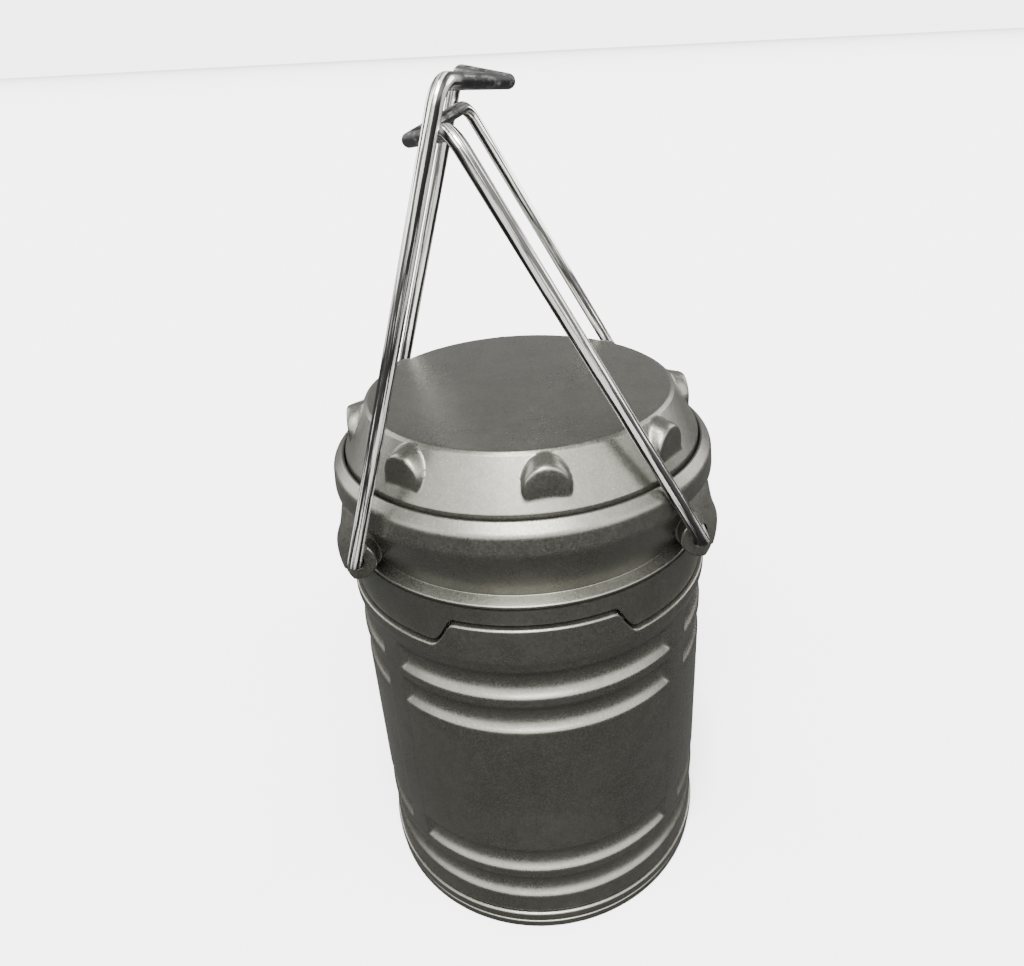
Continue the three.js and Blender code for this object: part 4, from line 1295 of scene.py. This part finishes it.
@dataclass
class TopCap(Assembly):
    """Flat disc and cone in one moulding, with eight D-shaped stubs standing out of the cone."""

    seam: float = 40.8
    disc: float = 34.9
    stub_count: int = 8
    stub_turn: float = 6.1
    stub_half: float = 5.1
    stub_face: float = 39.45
    stub_foot: float = 1.4
    stub_crown: float = 1.3
    stub_corner: float = 0.9
    stub_draft: float = 4.2
    stub_trim: float = 0.15
    stub_round: float = 0.35
    disc_edge: float = 0.8
    disc_round: float = 0.85
    wall: float = 2.2
    row_step: float = 0.19
    columns: int = 960

    def stub_outline(self, across: Array, height: Array, foot: float, crown: float) -> Array:
        """Signed distance from a D lying on its flat foot, positive outside.

        Above the round's centre it is the distance to the centre less the half width; below, it is
        the distance to a box with rounded lower corners.

        Args:
            across: distance sideways from the stub's middle.
            height: height.
            foot: height of the flat foot.
            crown: height of the top of the round.

        Returns:
            The signed distance in millimetres.
        """
        centre = crown - self.stub_half
        arch = np.hypot(across, height - centre) - self.stub_half
        side = np.abs(across) - self.stub_half + self.stub_corner
        under = foot - height + self.stub_corner
        corner = np.hypot(np.maximum(side, 0.0), np.maximum(under, 0.0))
        box = corner + np.minimum(np.maximum(side, under), 0.0) - self.stub_corner
        return np.where(height > centre, arch, box)

    def cone(self, turn: Array, height: Array, low: float, high: float) -> Array:
        """The cone's radius with its stubs.

        The stub's flat face stands at one distance from the axis, so its radius is that distance
        over the cosine of the angle off its middle. Outside its outline it falls away at a steep
        draft, with the edge rounded by (d + sqrt(d^2 + e^2)) / 2 in place of max(d, 0).

        Args:
            turn: angles in radians.
            height: heights, as a column.
            low: height of the cone's foot.
            high: height of the disc.

        Returns:
            A radius for each height and angle.
        """
        plain = self.disc + (self.seam - self.disc) * (high - height) / (high - low)
        places = [self.stub_turn - 90.0 + 360.0 * i / self.stub_count for i in range(self.stub_count)]
        off = away_from(turn, places)[None]
        across = self.stub_face * np.tan(off)
        gap = self.stub_outline(across, height, low + self.stub_foot, high - self.stub_crown)
        inset = gap + self.stub_trim
        fall = 0.5 * (inset + np.sqrt(inset ** 2 + self.stub_round ** 2))
        stub = self.stub_face / np.cos(off) - self.stub_draft * fall
        return soft_max(plain + 0.0 * stub, stub, self.stub_round)

    def build_cap(self) -> bpy.types.Object:
        """The cap from the disc's centre, down the cone and the spigot, to its hollow underside.

        Returns:
            The piece.
        """
        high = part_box("top_cap")[1].z / MM
        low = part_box("collar")[1].z / MM
        turn = angles(self.columns)
        flat = np.ones_like(turn)[None]
        rim = self.disc - self.disc_edge
        disc_rows = np.asarray([0.0, 2.0, 6.0, 12.0, 18.0, 24.0, 30.0, 33.0, rim])[:, None]
        lip = np.radians([15.0, 35.0, 50.0])[:, None]
        lip_radius = rim + self.disc_round * np.sin(lip)
        lip_height = high - self.disc_round * (1 - np.cos(lip))
        rows = np.arange(high - 0.55, low + 0.35, -self.row_step)[:, None]
        wall = self.cone(turn, rows, low, high)
        below = rounded([
            (self.seam - 0.1, low + 0.18, 0.0),
            (self.seam, low - 0.1, 0.0),
            (self.seam, low - 4.5, 0.3),
            (self.seam - self.wall, low - 4.5, 0.3),
            (self.seam - self.wall, low - 0.4, 0.6),
            (self.disc - self.wall, high - self.wall, 1.0),
            (20.0, high - self.wall, 0.0),
            (4.0, high - self.wall, 0.0),
            (0.0, high - self.wall, 0.0),
        ], 4, closed=False)
        radius = np.concatenate([disc_rows * flat, lip_radius * flat, wall, below[:, :1] * flat])
        height = np.concatenate([
            high + 0 * disc_rows * flat,
            lip_height * flat,
            rows * flat,
            below[:, 1:] * flat,
        ])
        item = shell("top_cap_shell", ring_grid(radius, height, turn), Ends.POLES)
        smooth(item, 50.0)
        return self.settle(item, "head", "graphite_shell", "top_cap")


@dataclass
class BatteryCover(Assembly):
    """The twist-off base: two ring bands with a groove between, and two finger grips underneath."""

    rim_inner: float = 41.0
    floor: float = 2.0
    gutter: float = 1.0
    gutter_inner: float = 35.8
    grip_depth: float = 0.9
    well_depth: float = 0.35
    columns: int = 360

    def build_cup(self) -> bpy.types.Object:
        """The cup from the middle of its underside, round its rim, to the middle of its floor.

        The underside lies flat on its outer ring. The two finger grips are sunk into it by a depth
        times two smooth steps, one across the radius and one across the angle. A shallow round well
        lies inside the ring.

        Returns:
            The piece.
        """
        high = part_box("battery_cover")[1].z / MM
        turn = angles(self.columns)
        flat = np.ones_like(turn)[None]
        under = np.concatenate([
            np.linspace(0.0, 14.0, 6),
            np.linspace(14.6, 25.4, 37),
            np.linspace(27.0, 41.6, 8),
        ])
        grip_radius = ease(15.0, 16.0, under) * ease(24.6, 23.6, under)
        grip_angle = ease(0.66, 0.6, np.abs(away_from(turn, (0.0, 180.0))))
        well = self.well_depth * ease(38.2, 37.8, under) * ease(10.5, 10.9, under)
        grips = self.grip_depth * grip_radius[:, None] * grip_angle[None]
        sunk = np.maximum(grips, well[:, None] * flat)
        side = rounded([
            (42.4, 0.0, 0.0),
            (43.2, 0.0, 0.6),
            (43.2, 2.15, 0.45),
            (42.55, 2.3, 0.2),
            (42.55, 2.8, 0.2),
            (43.5, 2.95, 0.45),
            (43.55, high, 0.7),
            (self.rim_inner, high, 0.25),
            (self.rim_inner, self.gutter, 0.3),
            (self.gutter_inner, self.gutter, 0.3),
            (self.gutter_inner, self.floor, 0.3),
            (20.0, self.floor, 0.0),
            (5.0, self.floor, 0.0),
            (0.0, self.floor, 0.0),
        ], 5, closed=False)
        radius = np.concatenate([under[:, None] * flat, side[:, :1] * flat])
        height = np.concatenate([sunk, side[:, 1:] * flat])
        item = shell("battery_cover_cup", ring_grid(radius, height, turn), Ends.POLES)
        smooth(item)
        return self.settle(item, "cover", "graphite_shell", "battery_cover")


@dataclass
class Sleeve(Assembly):
    """The clear sleeve that the lit column shows through when the head is pulled up."""

    outer: float = 38.0
    inner: float = 36.2
    flutes: int = 90
    flute_depth: float = 0.22
    plain_end: float = 3.0
    full_flutes: float = 5.0
    chamfer: float = 0.3
    columns: int = 720

    def build_tube(self) -> bpy.types.Object:
        """The sleeve, smooth outside and finely fluted inside.

        The inside radius is the wall's plus a depth times the square of the cosine of half the
        flute count times the angle, faded out near both ends.

        Returns:
            The piece.
        """
        low, high = (corner.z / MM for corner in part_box("lens_tube"))
        turn = angles(self.columns)
        flat = np.ones_like(turn)[None]
        outside = np.asarray([
            (self.outer - self.chamfer, low),
            (self.outer, low + self.chamfer),
            (self.outer, low + 6.0),
            (self.outer, high - 6.0),
            (self.outer, high - self.chamfer),
            (self.outer - self.chamfer, high),
        ])
        plain, full, chamfer = self.plain_end, self.full_flutes, self.chamfer
        downward = [high, high - chamfer, high - plain, high - full]
        rows = np.asarray(downward + [low + full, low + plain, low + chamfer, low])[:, None]
        fade = ease(low + plain, low + full, rows) * ease(high - plain, high - full, rows)
        ripple = np.cos(0.5 * self.flutes * turn[None]) ** 2
        edge = np.where((rows > high - 0.1) | (rows < low + 0.1), chamfer, 0.0)
        inside = self.inner + edge + self.flute_depth * ripple * fade
        radius = np.concatenate([outside[:, :1] * flat, inside])
        height = np.concatenate([outside[:, 1:] * flat, rows * flat])
        item = shell("clear_sleeve", ring_grid(radius, height, turn))
        smooth(item)
        return self.settle(item, "head", "clear_sleeve", "lens_tube")


@dataclass
class Bail(Assembly):
    """One wire bail: two legs, ends turned in to the bosses, and a V-shaped hook bent over."""

    side: int = -1
    hinge_x: float = 36.2
    hinge_z: float = 108.0
    leg: float = 92.93
    leg_foot_y: float = 33.8
    leg_top_y: float = 33.0
    end_y: float = 26.0
    hook_reach: float = 11.4
    hook_bend: float = 82.0
    left_bend_x: float = -9.5
    wire: float = 1.45
    corner: float = 3.6
    heel: float = 1.5
    crossing_gap: float = 3.3
    row_step: float = 1.6
    sides: int = 28

    @property
    def lean(self) -> float:
        """How far the legs lean in, in radians.

        The left bail leans until its bends stand at left_bend_x. The right one leans until its own
        bends rest a small gap away from the left bail's legs.

        Returns:
            The angle.
        """
        left = math.asin((self.hinge_x + self.left_bend_x) / self.leg)
        if self.side < 0:
            return left
        reach = 2 * self.hinge_x * math.cos(left) - self.crossing_gap
        return math.asin(reach / self.leg) - left

    def route(self) -> tuple[Array, Array]:
        """The wire's centre line before it leans: X towards the hook's tip, Z up the legs.

        Returns:
            The points, and how far each is along the hook, from 0 on the legs to 1 at the tip.
        """
        bend = math.radians(self.hook_bend)
        tip_x, tip_z = self.hook_reach * math.sin(bend), self.leg + self.hook_reach * math.cos(bend)
        heel = self.wire * self.heel
        line = rounded([
            (0.0, -self.end_y, 0.0, 0.0),
            (0.0, -self.leg_foot_y, 0.0, heel),
            (0.0, -self.leg_top_y, self.leg, self.corner),
            (tip_x, 0.0, tip_z, self.corner),
            (0.0, self.leg_top_y, self.leg, self.corner),
            (0.0, self.leg_foot_y, 0.0, heel),
            (0.0, self.end_y, 0.0, 0.0),
        ], 10, closed=False)
        span = np.linalg.norm(np.diff(line, axis=0), axis=1)
        place = np.concatenate([[0.0], np.cumsum(span)])
        more = np.unique(np.concatenate([place, np.arange(0.0, place[-1], self.row_step)]))
        line = np.stack([np.interp(more, place, line[:, axis]) for axis in range(3)], -1)
        return line, ease(0.4, 3.0, line[:, 0])

    def build_wire(self) -> bpy.types.Object:
        """The wire, with a UV map that runs along it and an attribute that marks the hook.

        Returns:
            The piece.
        """
        line, hook = self.route()
        path, size = round_ends(line, self.wire)
        name = "left_bail_wire" if self.side < 0 else "right_bail_wire"
        grid = tube(path, size, (1.0, 0.0, 0.0), self.sides)
        tips = [path[place, None].repeat(self.sides, 1) for place in (slice(0, 1), slice(-1, None))]
        grid = np.concatenate([tips[0], grid, tips[1]])
        c, s = math.cos(self.lean), math.sin(self.lean)
        facing = -self.side
        rows = [[facing * c, 0, facing * s], [0, facing, 0], [-s, 0, c]]
        grid = placed(grid, rows, (self.side * self.hinge_x, 0.0, self.hinge_z))
        item = shell(name, grid, Ends.POLES)
        along = np.concatenate([[0.0], np.cumsum(np.linalg.norm(np.diff(path, axis=0), axis=1))])
        mark = np.interp(np.arange(len(path)), np.linspace(0, len(path) - 1, len(hook)), hook)
        self.mark(item, along, mark)
        smooth(item, 60.0)
        body = "left_bail" if self.side < 0 else "right_bail"
        return self.settle(item, body, "bright_wire", body)

    def mark(self, item: bpy.types.Object, along: Array, hook: Array) -> None:
        """Writes the wire's UV map and hook attribute.

        Args:
            item: the wire.
            along: distance along the wire at each row.
            hook: the hook's share at each row.
        """
        mesh = item.data
        count = len(mesh.vertices)
        row = np.minimum(np.arange(count) // self.sides, len(along) - 1)
        row[-2], row[-1] = 0, len(along) - 1
        strip = mesh.attributes.new("hook", "FLOAT", "POINT")
        strip.data.foreach_set("value", hook[row].astype(np.float32))
        loops = np.zeros(len(mesh.loops), np.int32)
        mesh.loops.foreach_get("vertex_index", loops)
        column = (np.arange(count) % self.sides) / self.sides
        u = 1.0 - np.abs(2.0 * column - 1.0)
        v = along * MM
        table = np.stack([u[loops], v[row][loops]], -1)
        layer = mesh.uv_layers.new(name="wire")
        layer.data.foreach_set("uv", table.astype(np.float32).ravel())


@dataclass
class Innards(Assembly):
    """The pieces inside, which keep their own solids and get their finishes from the record."""

    def dress_all(self, replaced: set[str]) -> int:
        """Gives every solid that still shows its slot's finish.

        Args:
            replaced: nodes that a finer piece stands for.

        Returns:
            How many solids were dressed.
        """
        slots = {part["node"]: part["material_slot"] for part in frame["record"]["subparts"]}
        shown = [name for name in sorted(frame["nodes"]) if name not in replaced]
        for name in shown:
            self.palette.dress(frame["nodes"][name], slots[name])
        return len(shown)


# ---- Studio --------------------------------------------------------------------------------------


@dataclass
class Studio:
    """Pale floor, a pale surround, four soft lights and the camera."""

    camera_place: tuple[float, float, float] = (0.0, -0.17113, 0.20111)
    elevation: float = 39.51
    pan: float = -1.56
    tilt: float = 12.43
    roll: float = 3.97
    lens: float = 28.125
    shift: tuple[float, float] = (-0.0322, -0.0273)
    floor_radius: float = 40000.0
    bounce: float = 0.035
    rear: float = 0.62
    front: float = 6.6
    backdrop: float = 4.6
    paper: float = 0.88
    floor_top: float = -0.02
    floor_foot: float = -8.0
    lights: tuple[tuple[str, float, float, float, float], ...] = (
        ("key", -4.0, 50.0, 38.0, 10.0),
        ("overhead", -20.0, 78.0, 8.0, 3.0),
        ("left_fill", -118.0, 24.0, 40.0, 2.4),
        ("right_fill", 118.0, 24.0, 40.0, 2.4),
    )

    def floor(self) -> None:
        """A very wide thin disc at the lantern's foot."""
        rows = np.asarray([0.0, 300.0, 2000.0, self.floor_radius])
        top = ring_grid(rows[:, None], np.full((4, 1), self.floor_top), angles(96))
        under = ring_grid(rows[::-1, None], np.full((4, 1), self.floor_foot), angles(96))
        item = shell("floor", np.concatenate([top, under]), Ends.POLES)
        material = bpy.data.materials.new("studio_floor")
        material.use_nodes = True
        sketch = Sketch(material.node_tree)
        seen = sketch.node("LightPath").outputs["Is Camera Ray"]
        shader = material.node_tree.nodes["Principled BSDF"]
        unlit, paper = ((grey, grey, grey, 1.0) for grey in (self.bounce, self.paper))
        tone = sketch.blend(seen, unlit, paper)
        sketch.feed(shader.inputs["Base Color"], tone)
        shader.inputs["Roughness"].default_value = 0.9
        shader.inputs["Specular IOR Level"].default_value = 0.0
        item.data.materials.append(material)

    def world(self) -> None:
        """A soft surround, brighter over the front than behind, with a paler plain backdrop.

        Its strength rises in proportion to the direction's share towards the front, up to a limit, and
        falls off below the horizon and overhead.
        """
        world = bpy.data.worlds.new("surround")
        bpy.context.scene.world = world
        world.use_nodes = True
        sketch = Sketch(world.node_tree)
        way = sketch.node("SeparateXYZ", {0: sketch.node("TexCoord").outputs["Generated"]}).outputs
        ahead = sketch.span(sketch.math("MULTIPLY", way[1], -1.0), (0.0, 0.45), (0.0, 1.0))
        above = sketch.span(way[2], (-0.02, 0.12), (0.0, 1.0))
        overhead = sketch.span(way[2], (0.75, 0.95), (1.0, 0.2))
        share = sketch.math("MULTIPLY", sketch.math("MULTIPLY", ahead, above), overhead)
        around = sketch.span(share, (0.0, 1.0), (self.rear, self.front))
        seen = sketch.node("LightPath").outputs["Is Camera Ray"]
        unseen = sketch.math("MULTIPLY", around, sketch.math("SUBTRACT", 1.0, seen))
        strength = sketch.math("ADD", unseen, sketch.math("MULTIPLY", seen, self.backdrop))
        back = world.node_tree.nodes["Background"]
        sketch.feed(back.inputs["Strength"], strength)
        back.inputs["Color"].default_value = (1.0, 1.0, 1.0, 1.0)

    def sun(self, name: str, azimuth: float, elevation: float, spread: float, strength: float) -> None:
        """A distant round light.

        Args:
            name: the light's name.
            azimuth: degrees from the front towards the right.
            elevation: degrees above the floor.
            spread: how wide the light looks, in degrees.
            strength: its power on a surface that faces it.
        """
        data = bpy.data.lights.new(name, "SUN")
        data.energy = strength
        data.angle = math.radians(spread)
        item = bpy.data.objects.new(name, data)
        a, e = math.radians(azimuth), math.radians(elevation)
        away = Vector((math.sin(a) * math.cos(e), -math.cos(a) * math.cos(e), math.sin(e)))
        item.rotation_euler = (-away).to_track_quat("-Z", "Y").to_euler()
        bpy.context.scene.collection.objects.link(item)

    def camera(self) -> None:
        """Looks down along the elevation, then pans, tilts and rolls about the camera's own axes."""
        e = math.radians(self.elevation)
        forward = Vector((0.0, math.cos(e), -math.sin(e)))
        right = Vector((1.0, 0.0, 0.0))
        up = right.cross(forward)
        pan = Matrix.Rotation(math.radians(self.pan), 3, up)
        forward, right = pan @ forward, pan @ right
        tilt = Matrix.Rotation(math.radians(self.tilt), 3, right)
        forward, up = tilt @ forward, tilt @ up
        roll = Matrix.Rotation(math.radians(self.roll), 3, forward)
        right, up = roll @ right, roll @ up
        data = bpy.data.cameras.new("camera")
        data.lens = self.lens
        data.sensor_width = 36.0
        data.clip_start = 0.005
        data.shift_x, data.shift_y = self.shift
        item = bpy.data.objects.new("camera", data)
        turn = Matrix((right, up, -forward)).transposed().to_4x4()
        item.matrix_world = Matrix.Translation(self.camera_place) @ turn
        bpy.context.scene.collection.objects.link(item)
        bpy.context.scene.camera = item

    def build(self) -> None:
        """Sets up the whole studio."""
        self.floor()
        self.world()
        for light in self.lights:
            self.sun(*light)
        self.camera()


def main() -> None:
    """Builds every sub-assembly in order, then the studio."""
    logging.basicConfig(level=logging.INFO, format="%(name)s %(message)s")
    palette = Palette()
    tab = Tab()
    Barrel(palette, tab=tab).build_shell()
    BatteryCover(palette).build_cup()
    Skirt(palette, tab=tab).build_band()
    Collar(palette).build_collar()
    TopCap(palette).build_cap()
    Sleeve(palette).build_tube()
    Bail(palette, side=-1).build_wire()
    Bail(palette, side=1).build_wire()
    count = Innards(palette).dress_all(REPLACED)
    LOG.info("innards: %d solids dressed", count)
    Studio().build()


if __name__ == "__main__":
    main()
